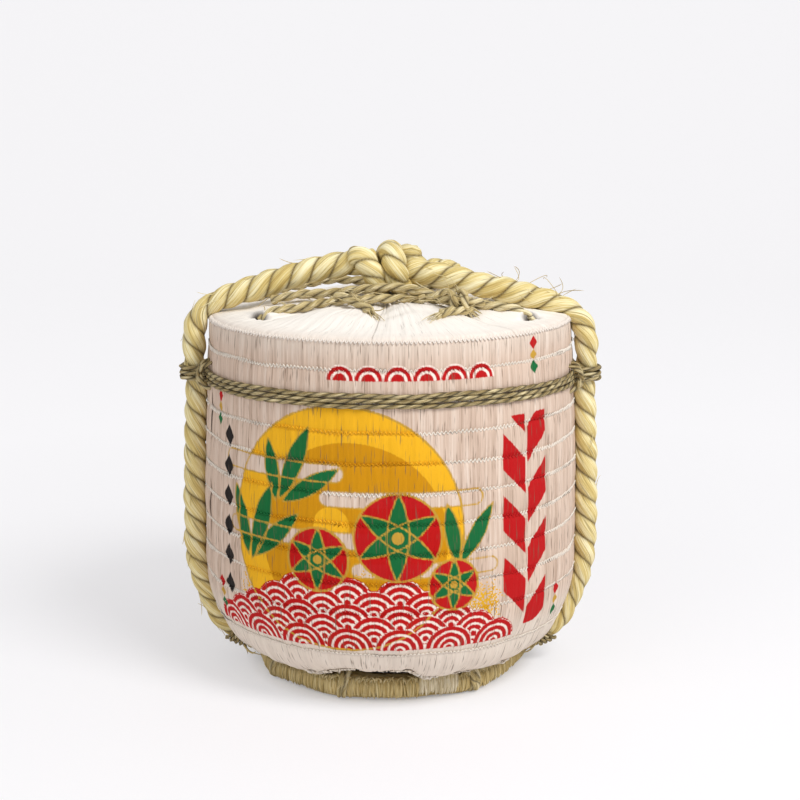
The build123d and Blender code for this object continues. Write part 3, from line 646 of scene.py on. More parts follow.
def discInk(u, v, centre, radius):
    # Distance to a disc's edge: length from the centre less the radius
    return np.hypot(u - centre[0], v - centre[1]) - radius


def barInk(u, v, centre, half):
    # Distance to a bar with round ends: length of (|x| - (a - b), y) outside the middle line, less b
    beyond = np.abs(u - centre[0]) - (half[0] - half[1])
    return np.hypot(np.maximum(beyond, 0), np.abs(v - centre[1])) - half[1]


def leafInk(u, v, root, length, width, turn):
    # Distance to a leaf: the overlap of two discs whose crossing points are the root and the tip
    c, s = math.cos(turn), math.sin(turn)
    along = c * (u - root[0]) + s * (v - root[1]) - length / 2
    beside = np.abs(c * (v - root[1]) - s * (u - root[0]))
    bend = (length ** 2 / 4 + width ** 2 / 4) / width
    return np.hypot(along, beside + bend - width / 2) - bend


def lozengeInk(u, v, centre, half):
    # Distance to a lozenge: |x|/a + |y|/b - 1, scaled back to mm
    share = np.abs(u - centre[0]) / half[0] + np.abs(v - centre[1]) / half[1] - 1
    return share * half[0] * half[1] / math.hypot(*half)


printing = {
    "sun": ((-24.0, 94.0), 60.0), "ring": ((-19.0, 90.0), 47.0), "hole": ((-28.0, 97.0), 9.0),
    "mist": [((-58, 122), (36, 4.2)), ((6, 110), (40, 3.8)), ((-44, 90), (46, 4.0)), ((18, 76), (36, 3.6))],
    "wave": {"radius": 12.5, "rows": 5, "bottom": 35.0, "reach": 78.0, "less": 11.0, "middle": -20.0,
             "rings": (12.5, 9.0, 5.5, 2.2)},
    "leaves": [((-74, 74), 42, 10.0, 1.25), ((-72, 76), 37, 9.0, 0.75), ((-76, 76), 35, 9.0, 1.85),
               ((-54, 106), 35, 8.5, 0.55), ((-56, 107), 40, 9.5, 1.15), ((-58, 106), 30, 8.0, 1.75),
               ((34, 78), 33, 8.0, 1.0), ((33, 78), 30, 7.5, 1.75)],
    "balls": [((4.0, 92.0), 21.0), ((-35.0, 80.0), 15.5), ((31.0, 68.0), 12.5)],
    "dust": [((-70, 58), 15), ((-8, 66), 13), ((46, 56), 15), ((-44, 136), 12)],
    "column": {"middle": 73.0, "half": 15.0, "low": 40.0, "high": 146.0, "period": 30.0, "fill": 17.5, "slope": 0.95},
    "scallops": {"first": -24.0, "count": 6, "radius": 7.0, "base": 166.0},
    "marks": [(-93.0, 132 - 15 * step) for step in range(6)],
    "triplets": [(-104.0, 150.0), (81.0, 179.0), (-102.0, 56.0), (101.0, 52.0)],
    "triplet": [("inkRed", 0.0, (3.4, 3.4)), ("inkGold", 5.8, (3.0, 2.8)), ("inkGreen", 11.6, (3.4, 3.4))]}


def printInks(u, v):
    # Signed distance in mm for each ink, negative inside; later inks lie over earlier ones
    inks = {layer: np.full_like(u, 40.0) for layer, colour in inkLayers}

    def lay(layer, distance):
        # Ink added to a layer: the smaller distance
        inks[layer] = np.minimum(inks[layer], distance)

    def clear(distance, *layers):
        # A shape left bare in these layers: the larger of the distance and the shape's own turned inside out
        for layer in layers:
            inks[layer] = np.maximum(inks[layer], -distance)

    def edge(distance, half):
        # Gold line along a shape's edge, to half its width on each side
        lay("inkGold", np.abs(distance) - half)

    sun = discInk(u, v, *printing["sun"])
    lay("inkYellow", sun)
    lay("inkOchre", np.maximum(discInk(u, v, *printing["ring"]), -discInk(u, v, *printing["hole"])))
    edge(sun, 0.5)
    for centre, half in printing["mist"]:
        mist = barInk(u, v, centre, half)
        clear(mist, "inkYellow", "inkOchre")
        edge(mist, 0.4)
    wave = printing["wave"]
    size, across = wave["radius"], u - wave["middle"]
    nearest = np.full_like(u, 99.0)
    for row in reversed(range(wave["rows"])):
        shift = size * (row % 2)
        place = np.round((across - shift) / (2 * size)) * 2 * size + shift
        inRow = np.abs(place) <= wave["reach"] - wave["less"] * row
        distance = np.where(inRow, np.hypot(across - place, v - wave["bottom"] - row * size / 2), 99.0)
        lay("inkRed", np.maximum(distance - size, wave["bottom"] - v))
        nearest = np.where(distance < size, distance, nearest)
    rings = np.min([np.abs(nearest - ring) for ring in wave["rings"]], axis=0) - 0.55
    lay("inkPale", np.maximum(rings, wave["bottom"] - v))
    for leafAt in printing["leaves"]:
        leaf = leafInk(u, v, *leafAt)
        lay("inkGreen", leaf)
        edge(leaf, 0.35)
    for centre, radius in printing["balls"]:
        ball = discInk(u, v, centre, radius)
        clear(ball, "inkGreen", "inkPale", "inkGold")
        lay("inkRed", ball)
        for turn in (0.5, 0.5 + tau / 6, 0.5 + tau / 3):
            root = (centre[0] - radius * math.cos(turn), centre[1] - radius * math.sin(turn))
            petal = leafInk(u, v, root, 2 * radius, radius * 0.5, turn)
            lay("inkGreen", np.maximum(petal, ball + 0.8))
            lay("inkGold", np.maximum(np.abs(petal) - 0.35, ball))
        edge(ball, 0.5)
        lay("inkGold", discInk(u, v, centre, radius * 0.14))
    column = printing["column"]
    x, y = u - column["middle"], v - column["low"]
    slant = y - np.abs(x) * column["slope"] + np.where(x > 0, column["period"] / 2, 0)
    stripe = np.abs(slant % column["period"] - column["period"] / 2) - column["fill"] / 2
    lay("inkRed", np.maximum.reduce([stripe / math.hypot(1, column["slope"]), np.abs(x) - column["half"],
                                     0.7 - np.abs(x), -y, v - column["high"]]))
    scallop = printing["scallops"]
    for number in range(scallop["count"]):
        hump = discInk(u, v, (scallop["first"] + 2 * scallop["radius"] * number, scallop["base"]), scallop["radius"])
        inner = np.abs(hump + scallop["radius"] * 0.42) - 0.6
        for layer, distance in (("inkRed", hump), ("inkPale", inner), ("inkPale", np.abs(hump) - 0.35)):
            lay(layer, np.maximum(distance, scallop["base"] - v))
    for centre in printing["marks"]:
        lay("inkBlack", lozengeInk(u, v, centre, (4.4, 5.6)))
    for across, up in printing["triplets"]:
        for layer, drop, half in printing["triplet"]:
            lay(layer, lozengeInk(u, v, (across, up - drop), half))
    dust = [0.75 * (1 - smoothStep(2, radius, discInk(u, v, at, 0))) for at, radius in printing["dust"]]
    bare = np.min([inks[layer] for layer in ("inkRed", "inkGreen", "inkYellow")], axis=0) > 0.4
    return dict(inks, dust=np.max(dust, axis=0) * bare)


# Top flaps: mat straw folded over the edge to the middle, ragged at the inner ends
flap = {"count": 8, "first": -5.0, "thick": 2.2, "fold": 4.2, "dome": 6.4, "pillow": 2.4, "slack": 1.1, "wrinkle": 0.55,
        "inner": 17.0, "fray": 9.0, "rows": 100, "foldRows": 9, "columns": 96, "straws": 70, "length": 72.0,
        "eyes": [(-58.5, 75.0, 0.15), (59.5, 79.5, -0.15)], "eyeLift": 3.2, "eyeDepth": 2.4, "ends": 26,
        "seamTurn": 0.5, "stitchTurn": 0.52, "bend": (84.0, 66.0)}


def foldPlace(turn, azimuth, out):
    # Round edge that carries on from the wall: arc of the fold radius about a point inside the wall's top
    wall = topRadius + matRelief(0 * azimuth, azimuth) + 0.05
    reach = flap["fold"] + out
    return polar(wall + reach * np.cos(turn) - flap["fold"], azimuth, matTop - 0.1 + reach * np.sin(turn))


def matPiece(name, firstAzimuth, lastAzimuth, step, material, inks):
    # Mat grid: the outline moved out by the relief, carried over the fold at the top and turned in at the foot
    columns = int(math.radians(lastAzimuth - firstAzimuth) * bellyRadius / step) + 1
    azimuth = np.radians(np.linspace(firstAzimuth, lastAzimuth, columns))[None, :]
    run = np.linspace(0, matRun - mat["footShort"], int(matRun / step) + 1)[:, None]
    ragged = 1.6 * ringRipple(azimuth, 5.0, 8) + 1.2 * ringRipple(azimuth, 21.0, 9)
    down = run - (ragged * 0.8 + mat["gapLift"] * footGap(azimuth)) * smoothStep(matRun - 26, matRun, run)
    over = np.linspace(flap["seamTurn"] + 0.5, 0.1, 6)[:, None]  # carries on a little way under the flaps
    skin = clearOfRope(np.concatenate([foldPlace(over, azimuth + 0 * over, -0.1 + 0 * over),
                                       onMat(down, azimuth, matRelief(run, azimuth))]))
    inset = np.array(mat["footLip"])[:, None]
    foot = skin[-1] + polar(-inset, azimuth, -0.3 * inset * footGap(azimuth) - 0.1 * inset)
    points = np.concatenate([skin, foot])
    padded = np.concatenate([-flap["fold"] * over, run, run[-1:] + inset])
    across = np.broadcast_to(azimuth * bellyRadius, points.shape[:2])
    up = np.broadcast_to(matTop - padded, points.shape[:2])
    lime = 0.62 * smoothStep(58, 30, up) + 0.3 * smoothStep(172, 182, up) + 0.06 * np.maximum(up - matTop, 0)
    # crease paints shade on the lip turned in under the foot
    fields = {"lime": lime, "crease": 0.3 * smoothStep(matRun - 3.4, matRun, padded), **inks(across, up)}
    piece = makePiece(name, points, material, np.stack([across, up], axis=-1), fields)
    settle(piece, "barrel", "mat_straw", "straw_mat")


def noInks(u, v):
    # The back of the mat is left plain
    return {}


frontHalf = mat["frontHalf"]
matPiece("straw_mat_front", -frontHalf, frontHalf, mat["frontStep"], printedMat, printInks)
matPiece("straw_mat_back", frontHalf, 360 - frontHalf, mat["backStep"], plainMat, noInks)

# Stitching: one pale thread to a row, looping over the straws
stitch = {"pitch": 2.1, "thread": 0.42, "sway": 1.05, "sides": 4, "perLoop": 6, "loopLift": 0.26}


def threadLoops(degrees, radius):
    # Turn count along a thread, its zigzag from -1 to 1 and its lift sin^2 over each loop
    loops = int(math.radians(degrees) * radius / stitch["pitch"])
    turn = np.linspace(0, loops, loops * stitch["perLoop"] + 1)[None, :]
    return turn, turn / loops, np.abs(turn % 1 - 0.5) * 4 - 1, np.sin(math.pi * (turn % 1)) ** 2


for name, first, finish, inks in (("front", -90, printedMat, printInks), ("back", 90, plainMat, noInks)):
    turn, share, zigzag, hump = threadLoops(180, bellyRadius)
    azimuth = np.radians(first + 180 * share)
    rows = rowPlaces[:, None]
    sway = stitch["sway"] * zigzag * (0.8 + 0.25 * ripple(turn * 2.3, rows, 19, 21))
    run = rows + sway + 0.5 * ripple(azimuth * bellyRadius, rows * 3, 60, 22)
    lift = matRelief(run, azimuth) + 0.05 + (stitch["loopLift"] + 0.2 * smoothStep(130, 150, rows)) * hump
    routes = clearOfRope(onMat(run, azimuth, lift), 0.4)
    points, uv = roundTubes(routes, stitch["thread"], stitch["sides"])
    across, up = (np.broadcast_to(part[..., None], points.shape[:3])
                  for part in np.broadcast_arrays(azimuth * bellyRadius, matTop - run))
    fields = {"lime": np.full(1, 0.85), "crease": noShade, **inks(across, up)}
    settle(makePiece(f"mat_stitches_{name}", points, finish, uv, fields, wrap=True, flip=True), "barrel", "mat_straw")
print("mat done")


def flapSurface(radius, azimuth):
    # Height of the top straw: dome * (1 - (r/R)^2), a pillow across each flap, slack wrinkles and fine radial straws
    share = (np.degrees(azimuth) - flap["first"]) % 360 * flap["count"] / 360 % 1
    inner = topRadius - flap["fold"]
    inward = np.clip((inner - radius) / inner, 0, 1)
    across, x, y = azimuth * topRadius, np.sin(azimuth) * radius, np.cos(azimuth) * radius
    dome = flap["dome"] * (1 - np.clip(radius / inner, 0, 1) ** 2)
    pillow = flap["pillow"] * (1 - np.abs(2 * share - 1) ** 3) * smoothStep(0, 0.35, inward)
    slack = flap["slack"] * smoothStep(0, 0.2, inward) * (ripple(x, y, 34, 51) - 0.6)
    slack = slack + flap["wrinkle"] * smoothStep(0.15, 0.45, inward) * ripple(x, y, 13, 53)
    straws = 0.13 * ripple(across, radius * 0.05, 2.4, 50) + 0.2 * ripple(across, radius * 0.12, 7.0, 52)
    return matTop + flap["fold"] - 0.1 + dome + pillow + slack + smoothStep(0, 0.05, inward) * straws


def flapPiece(number, azimuth, share, local):
    # One flap: over the fold, in across the top to frayed ends, and back underneath
    straws = np.interp(share[0], np.linspace(0, 1, flap["straws"]), local.uniform(0, 1, flap["straws"]))[None, :]
    inner = flap["inner"] - flap["fray"] * straws ** 2 + 4.0 * ringRipple(azimuth, 30, 39 + number, 60)
    fold = np.linspace(flap["seamTurn"], math.pi / 2, flap["foldRows"])[:, None]
    down = np.linspace(0, 1, flap["rows"])[1:, None] ** 0.9
    edge = foldPlace(fold, azimuth + 0 * fold, 0.12 + 0 * fold)
    edgeReach = np.hypot(edge[..., 0], edge[..., 1])
    radius = edgeReach[-1:] + (inner - edgeReach[-1:]) * down
    height = flapSurface(radius, azimuth + 0 * radius) + 2.4 * down ** 7 * (straws - 0.4)
    height = height + (edge[-1:, :, 2] - flapSurface(edgeReach[-1:], azimuth)) * (1 - down) ** 6
    dark = np.zeros_like(height)
    for eyeAzimuth, eyeRadius, slant in flap["eyes"]:
        # The lacing's eyes: straw lifted inside each eye and sunk at its mouth, where dark paints shade into the crease
        # field
        beside = ((azimuth - math.radians(eyeAzimuth) + math.pi) % tau - math.pi) * eyeRadius + 0 * radius
        along = radius - eyeRadius + slant * beside
        lifted = bell(beside, 8.5) * bell(np.maximum(-along, 0), 11) * smoothStep(1.0, -0.8, along)
        hole = bell(beside, 6.0, 4) * bell(along - 0.7, 1.9, 4)
        height = height + flap["eyeLift"] * lifted - flap["eyeDepth"] * hole
        dark = np.maximum(dark, hole)
    top = clearOfRope(np.concatenate([edge, polar(radius, azimuth, height)]), 0.1)
    thick = flap["thick"] * np.concatenate([np.clip(np.sin(fold), 0.2, 1), 1 - 0.8 * down ** 4])
    under = top - thick[..., None] * upright
    sewnHeight = matTop + 0.05 + np.maximum(edge[..., 2] - matTop - flap["thick"], 0)
    under[:len(fold)] = polar(edgeReach - 2.0, azimuth, sewnHeight)
    ring = np.concatenate([top, under[:, ::-1]], axis=1)
    run = np.concatenate([fold * flap["fold"], flap["fold"] * math.pi / 2 + down * flap["length"]])
    uv = np.stack(np.broadcast_arrays(azimuth * bellyRadius, matTop + run), axis=-1)
    uv = np.concatenate([uv, uv[:, ::-1], uv[:, :1]], axis=1)
    depth = np.concatenate([0 * fold, down])
    # Painted shade in the crease field: along the seams between flaps, in the eyes and over the whole underside; the
    # longer straws also darken towards their ragged inner ends
    seams = np.clip(1 - np.minimum(share, 1 - share) * flap["straws"], 0, 1)
    crease = 0.14 * seams * smoothStep(0, 0.2, depth) + 0.33 * depth ** 8 * straws
    crease[len(fold):] = np.maximum(crease[len(fold):], dark)
    crease = np.concatenate([crease, np.full_like(crease, 0.25)], axis=1)
    lime = np.concatenate([0.3 + 0.4 * fold / (math.pi / 2), 0.7 + 0.12 * smoothStep(0, 0.1, down)])
    ring, uv, crease, lime = padEnds(ring, uv, crease, lime)
    ring[[0, -1]] = (ring[[0, -1]] + ring[[0, -1], ::-1]) / 2  # top and underside meet at both ends
    fields = {"crease": crease, "lime": lime}
    return makePiece(f"top_flap_straw_{number}", ring, topMat, uv, fields, wrap=True, weld=True)


for place in range(flap["count"]):
    number, span = place + 1, 360 / flap["count"]
    start = flap["first"] + place * span
    local = np.random.default_rng(300 + place)
    share = np.linspace(0, 1, flap["columns"])[None, :]
    azimuth = np.radians(start + 0.1 + share * (span - 0.2))
    piece = flapPiece(number, azimuth, share, local)
    # The sewn edge stays on the mat; a point there and one out on the flap are worked out but not used, and the piece's
    # transform is baked
    sewn, free = (polar(reach, math.radians(start + span / 2), matTop) * mm for reach in flap["bend"])
    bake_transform(piece)
    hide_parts(f"top_flap_{number}")
    turn, along, zigzag, hump = threadLoops(span, topRadius)
    threadAzimuth = azimuth[:, :1] + (azimuth[:, -1:] - azimuth[:, :1]) * along
    threadTurn = flap["stitchTurn"] + stitch["sway"] / flap["fold"] * zigzag
    routes = clearOfRope(foldPlace(threadTurn, threadAzimuth, 0.05 + stitch["loopLift"] * hump), 0.3)
    strawPiece(f"flap_stitches_{number}", routes, stitch["thread"], stitch["sides"], 0.0, topMat,
               "barrel", "flap_straw", lime=np.full(1, 0.6))
    # Loose straw ends at the inner edge
    column = (flap["ends"], 1)
    at = local.uniform(azimuth[0, 0], azimuth[0, -1], column)
    reach = np.linspace(0, 1, 7)[None, :]
    first = local.uniform(24, 36, column)
    radius = first - reach * local.uniform(8, 17, column)
    height = flapSurface(first, at) + 0.5 + reach * local.uniform(-0.6, 3.2, column) + 0.7 * np.sin(3 * reach + at * 9)
    routes = polar(radius, at + local.normal(0, 0.10, column) * reach, height)
    strawPiece(f"flap_straw_ends_{number}", routes, local.uniform(0.3, 0.6, flap["ends"]), 5, 0.4, limedStraw,
               f"flap_{number}", "flap_straw", crease=0.4 * local.uniform(0, 1, (*column, 1)) ** 2)
print("flaps done")

# Band cord: three turns round the mat, drawn into the nook beside each rope and over it
band = {"radius": 1.22, "nestle": 0.95, "strands": 2, "lobe": 0.72, "pitch": 15.0, "straws": 4, "strawLay": 0.4,
        "ridge": 0.04, "uneven": 0.05, "columns": 14, "step": 0.9, "turns": 3, "rise": 2.45, "nook": 8.0, "over": 6.7,
        "dip": 1.3, "left": 1.8, "right": 3.4}
ropeAt = np.array([upperRoutes[1][0][0, 0], ropePlane])
ropeReach = np.hypot(*ropeAt)
ropeAzimuth = math.atan2(ropeAt[0], -ropeAt[1])
bandRadius = np.interp(-joinHeight, -lineHeight, lineRadius) + band["radius"] * 0.75
nookFar, nookNear = bandRadius + band["nook"], band["over"] + band["nook"]
nookSwing = math.acos((ropeReach ** 2 + nookFar ** 2 - nookNear ** 2) / (2 * ropeReach * nookFar))
overSwing = math.pi - math.acos((ropeReach ** 2 + nookNear ** 2 - nookFar ** 2) / (2 * ropeReach * nookNear))


def planArc(away, azimuth, radius, first, last, count):
    # Arc in plan by azimuth of its outward direction, its middle at a reach away and an azimuth
    turn = np.linspace(first, last, count)
    return (polar(away, azimuth, 0.0) + polar(radius, turn, 0.0))[:, :2]


def bandTurn():
    # One turn in plan from the back: mat arc, nook, arc over the rope, nook, and the same on the other side
    parts, last = [], -math.pi
    for at in (-ropeAzimuth, ropeAzimuth):
        before, after = at - nookSwing, at + nookSwing
        parts += [planArc(0, 0, bandRadius, last, before, 120),
                  planArc(nookFar, before, band["nook"], before - math.pi, at - overSwing - math.pi, 16),
                  planArc(ropeReach, at, band["over"], at - overSwing, at + overSwing, 40),
                  planArc(nookFar, after, band["nook"], at + overSwing - math.pi, after - math.pi, 16)]
        last = after
    return np.concatenate([*parts, planArc(0, 0, bandRadius, last, math.pi, 120)])


plan = np.concatenate([bandTurn()] * band["turns"])
gone = routeLength(plan)
height = joinHeight + band["rise"] * band["turns"] * (gone / gone[-1] - 0.5)
route = evenRoute(np.column_stack([plan, height]), band["step"])
x, y, z = route.T.copy()
sag = np.where(x < 0, band["left"], band["right"]) - band["dip"]
route[:, 2] += 0.3 * ripple(x * 0.5, y * 0.5 + z * 9, 25, 71)
route[:, 2] -= band["dip"] + sag * smoothStep(0.35, 1.0, np.abs(x) / bandRadius)
skin = laidRope(route, upright, band, seed=14)
ropePiece("band_cord_turns", skin, cordStraw, "barrel", "cord_straw", "band_cord")
print("band done")


def cordPiece(name, routes, look, body, *nodes, material=cordStraw, seed=20, frayed=()):
    # Several laid cords joined in one piece, each on its own spline through control points
    grids = []
    for number, control in enumerate(routes):
        route = splineRoute(np.array(control, float), look["step"])
        route = evenRoute(route, routeLength(route)[-1] / (look["rows"] - 1))[:look["rows"]]
        steep = np.abs(unit(np.gradient(route, axis=0))[:, 2:3]) > 0.8
        lean = look.get("lean", np.where(steep, sideLean, upright))
        grids.append(laidRope(route, lean, look, None, 3.0 * number, seed=seed + number))
    skin = [np.stack(part) for part in zip(*grids)]
    ropePiece(name, skin, material, body, "cord_straw", *nodes)
    if look.get("loose"):
        lines = [looseLines(skin[0], look["loose"], look["radius"] * 4, seed)]
        lines += [frayedLines(skin[0][number], 18, 9.0, seed + 60 + number) for number in frayed]
        strawPiece(name + "_fuzz", np.concatenate(lines), look["radius"] * 0.13, 4, 0.4, material, body, "cord_straw")


# Ties: three short cords that cross over the band in the nook in front of each rope.
# Lashings: thin cord wound round the lower end of each rope, with a tuft of straw below
tie = dict(band, radius=1.2, nestle=0.0, lobe=0.64, pitch=9.0, rows=64, step=0.5, lean=np.array([0.0, 1.0, 0.05]),
           nook=75.0, crossings=((1, 0.2, 4.2), (-1, 1.4, 4.0), (1, 0.9, 2.6)))
lashing = dict(band, radius=1.1, nestle=0.0, lobe=0.64, pitch=6.0, rows=260, step=0.5, turns=4, columns=10,
               lean=np.array([0.0, 1.0, 0.02]), bed=2.7, stations=73, tuft=34)
for side, sign in sides:
    nook = math.radians(tie["nook"])
    out, front = np.array([[sign * math.sin(nook), -math.cos(nook), 0], [-sign * math.cos(nook), -math.sin(nook), 0]])
    middle = out * (bandRadius + 3.0) + (joinHeight - band[side]) * upright
    routes = []
    for way, push, spread in tie["crossings"]:  # each cord crosses from the rope down to the mat
        steps = [(-5.0, -spread, 7.0), (-0.8, -spread, 6.1), (push, -spread * 0.5, 3.1), (push + 0.5, 0, 0),
                 (push, spread * 0.5, -3.1), (-1.2, spread, -5.9), (-5.0, spread * 1.05, -6.8)]
        routes.append([middle + out * a + front * b + way * c * upright for a, b, c in steps])
    cordPiece(f"band_tie_{side}", routes, tie, "barrel", f"rope_tie_{side}", seed=30)
for side, sign in sides:
    axis, turn = besideMat(matRun - np.linspace(16.0, 8.0, lashing["stations"]), lashing["bed"], sign)
    swing = np.linspace(0, tau * lashing["turns"], lashing["stations"])[:, None]
    outward = np.stack([sign * np.cos(turn), 0 * turn, np.sin(turn)], axis=-1)
    reach = np.linspace(4.9, 4.3, lashing["stations"])[:, None]
    coil = axis + reach * (np.cos(swing) * outward - np.sin(swing) * sideLean)
    cordPiece(f"rope_end_lashing_{side}", [coil], lashing, "barrel", f"rope_lashing_{side}", seed=36)
    local = np.random.default_rng(400 + sign)
    start = axis[-8] + local.normal(0, 1.6, (lashing["tuft"], 3))
    end = axis[-1] + np.array([-sign * 5.0, -1.5, -4.5]) + local.normal(0, 1, start.shape) * [3.0, 3.6, 1.6]
    end[:, 2] = np.maximum(end[:, 2], 4.0)
    lines = bowedLines(start, end, 1.4, 7, local)
    strawPiece(f"rope_end_tuft_{side}", lines, local.uniform(0.35, 0.7, len(lines)), 5, 0.4, footStraw,
               "barrel", "rope_straw")
print("ties and lashings done")

# Lacing over the flaps: thin slack cord drawn through an eye at each side and crossed in the middle.
# Plans are x, y and a lift off the flaps, below zero where the cord goes down through an eye
lacing = dict(
    band, radius=2.4, nestle=0.0, lobe=0.64, pitch=16.0, rows=230, step=0.8, columns=20, straws=6, strawLay=0.5,
    ridge=0.14, uneven=0.11, loose=60, lift=2.3,
    front=[(-65.5, -41, -7.5), (-62.5, -39.7, -2.0), (-56, -38.2, 0.6), (-44, -36, 0.2), (-30, -34.5, 0.3),
           (-17, -33, 0.6), (2, -31.5, 0.8), (20, -33.5, 0.6), (37, -36, 0.4), (54, -38.6, 0.4), (63, -39.8, 0.8),
           (68.5, -40.3, -1.8), (71.5, -41, -7.5)],
    back=[(-71, 10, -7.0), (-68, 10.4, -1.5), (-62, 11.4, 1.0), (-48, 14, 2.2), (-35, 14.5, 3.9), (-17, 15.5, 4.2),
          (2, 17.5, 2.0), (18, 18, 0.4), (36, 16, 0.2), (52, 13, 0.3), (62, 11.4, 1.0), (69, 10.4, -1.5),
          (72, 10, -7.0)],
    cross=[(-60, -19.5, 0.3), (-46, -22, 2.0), (-28, -24.5, 4.2), (-9, -28, 5.8), (6, -31.5, 5.4), (18, -36, 3.6),
           (30, -40, 1.0), (39, -45, 0.2)],
    end=[(-27, -33.5, 4.0), (-20, -39, 1.8), (-14, -45, 0.0), (-9, -52, -0.8)])


def onFlap(plan):
    # Control points over the flaps at plan places
    return [(x, y, flapSurface(math.hypot(x, y), math.atan2(x, -y)) + lacing["lift"] + lift) for x, y, lift in plan]


for end, plans, seed, frayed in (("front", ("front", "cross", "end"), 40, (1, 2)), ("back", ("back",), 44, ())):
    routes = [onFlap(lacing[name]) for name in plans]
    cordPiece(f"lacing_cord_{end}", routes, lacing, "top_rope", f"lacing_{end}", material=lacingStraw, seed=seed,
              frayed=frayed)

# Small lacing knot on the right: a turn and a half about X with tails
small = dict(lacing, rows=110, radius=2.2, loose=44, turns=1.6, along=5.4, bend=4.4, place=(34.0, -43.5, 3.1))
turn = np.linspace(0, small["turns"], 23)
swing = math.pi / 2 + tau * turn
coil = np.stack([small["along"] * turn / small["bend"] - 1, np.cos(swing), np.sin(swing)], axis=-1)
coil = onFlap([small["place"]])[0] + small["bend"] * coil
tails = [[coil[-1], coil[-1] + [3, -2, -1], *onFlap([(30, -53, -0.1), (24, -60, -0.5)])],
         [coil[0], coil[0] + [-3, 2, 0.5], *onFlap([(24, -38, 1.7), (14, -34, 1.1)])],
         onFlap([(46, -38, 0.6), (41, -42, 3.0), (34, -46.5, 5.0), (27, -43, 2.2), (22, -38.5, 0.4)])]
cordPiece("lacing_cord_knot", [coil, *tails], small, "top_rope", "lacing_knot", material=lacingStraw, seed=48,
          frayed=(1, 2))
print("lacing done")

# Foot: straw bundles bent under the mat, bound by thin cords
foot = {"ties": [-58, -21, 35, 88, 131, 176, 221, 262], "wide": 16.0, "corner": 1.0, "dip": 1.9, "square": 0.6,
        "limed": (12.5, 28.5), "plain": (28.5, 372.5), "rows": 1100, "columns": 60, "tops": 420, "hanging": 700,
        "perClump": 46, "clumps": [(-30.0, 3.2), (14.0, 3.4), (-64.0, 4.0), (47.0, 4.5)]}
footOuter, footTop = cadCorners("foot_straw_bundles")[1][[0, 2]]
half = foot["wide"] / 2
middle = footOuter - half


def fromTie(azimuth):
    # Length along the ring to the nearest tie
    gap = (azimuth[..., None] - np.radians(foot["ties"]) + math.pi) % tau - math.pi
    return np.min(np.abs(gap), axis=-1) * footOuter


def footSwell(azimuth):
    # Bundles run nearly straight from tie to tie, so the ring has a corner at each tie, and each bundle is its own size
    own = 0.5 * ringRipple(azimuth, 34, 61, footOuter)
    straight = foot["dip"] * smoothStep(0, 22, fromTie(azimuth))
    return foot["corner"] - straight + own - 0.9 * bell(fromTie(azimuth), 1.8)


def squared(angle, power):
    # Rounded square: sign(cos) |cos|^power across and the same of the sine up
    return [np.sign(part) * np.abs(part) ** power for part in (np.cos(angle), np.sin(angle))]


azimuth = np.radians(np.linspace(0, 360, foot["rows"], endpoint=False))[:, None]
around = np.linspace(0, tau, foot["columns"], endpoint=False)[None, :]
wide, tall = squared(around, foot["square"])
swell = footSwell(azimuth)
straws = 0.45 * ripple(around * 8.3, azimuth * footOuter * 0.09, 2.6, 62)
radius = middle + (half - 0.4 + np.where(wide > 0, swell, 0) + straws * np.abs(wide)) * wide
height = footTop / 2 + (footTop / 2 - 0.3 + 0.4 * np.clip(swell, -1, 0.7) + 0.6 * straws) * tall
height = np.maximum(height, 0.05)
points = polar(radius, azimuth, height)
uv = np.stack(np.broadcast_arrays(np.linspace(0, 52, foot["columns"] + 1)[None, :], azimuth * footOuter), axis=-1)
# Painted shade: along the top edge under the mat, down by the floor and in the pinch at each tie
shade = 0.4 * smoothStep(footTop - 1.6, footTop - 0.2, height) + 0.6 * smoothStep(1.4, 0, height)
crease = np.clip(0.7 * bell(fromTie(azimuth), 2.2) + shade, 0, 1)
points, crease = (np.concatenate([grid, grid[:1]]) for grid in (points, crease))  # the ring closes on itself
uv = np.concatenate([uv, uv[:1] + [0, tau * footOuter]])
tubePiece("foot_bundles", points, uv, footStraw, "barrel", "foot_straw", "foot_straw_bundles", crease=crease)

# Cut straw laid down the face of the bundles, one stretch of it limed
local = np.random.default_rng(77)
share = np.linspace(0, 1, 7)[None, :]
for name, (first, last), each, finish, rise, soil in (
        ("foot_straw_face", foot["plain"], 1.9, footStraw, 0.4, 0.0),
        ("foot_straw_limed", foot["limed"], 3.4, rubbedStraw, 2.2, 0.1)):
    at = np.radians(np.linspace(first, last, int((last - first) * each)))[:, None]
    bottom = local.uniform(0.7, 1.6 + rise, at.shape)
    height = footTop + rise + (bottom - footTop - rise) * share
    tucked = (2.4 - 0.8 * rise) * (1 - share) ** 3 + 1.0 * share ** 5
    radius = footOuter + 0.1 + footSwell(at) + 0.3 * np.sin(math.pi * share) + local.normal(0, 0.22, at.shape) - tucked
    routes = polar(radius, at + local.normal(0, 0.012, at.shape) * (share - 0.3), height)
    strawPiece(name, routes, local.uniform(0.4, 0.75, len(at)), 6, 0.0, finish, "barrel", "foot_straw",
               crease=soil + 0.35 * local.uniform(0, 1, (len(at), 1, 1)) ** 3)

# Pale cut ends laid over the top edge of the bundles
at = np.sort(local.uniform(0, tau, foot["tops"]))[:, None]
inward = (share - 0.15) * local.uniform(2.5, 6.0, at.shape)
routes = polar(footOuter + footSwell(at) + 0.3 - inward, at + local.normal(0, 0.03, at.shape) * share,
               footTop + 0.5 + local.normal(0, 0.25, at.shape) - 8.0 * np.maximum(0.2 - share, 0))
strawPiece("foot_straw_tops", routes, local.uniform(0.3, 0.55, len(at)), 5, 0.3, lacingStraw, "barrel", "foot_straw",
           crease=0.3 * local.uniform(0, 1, (len(at), 1, 1)) ** 2)

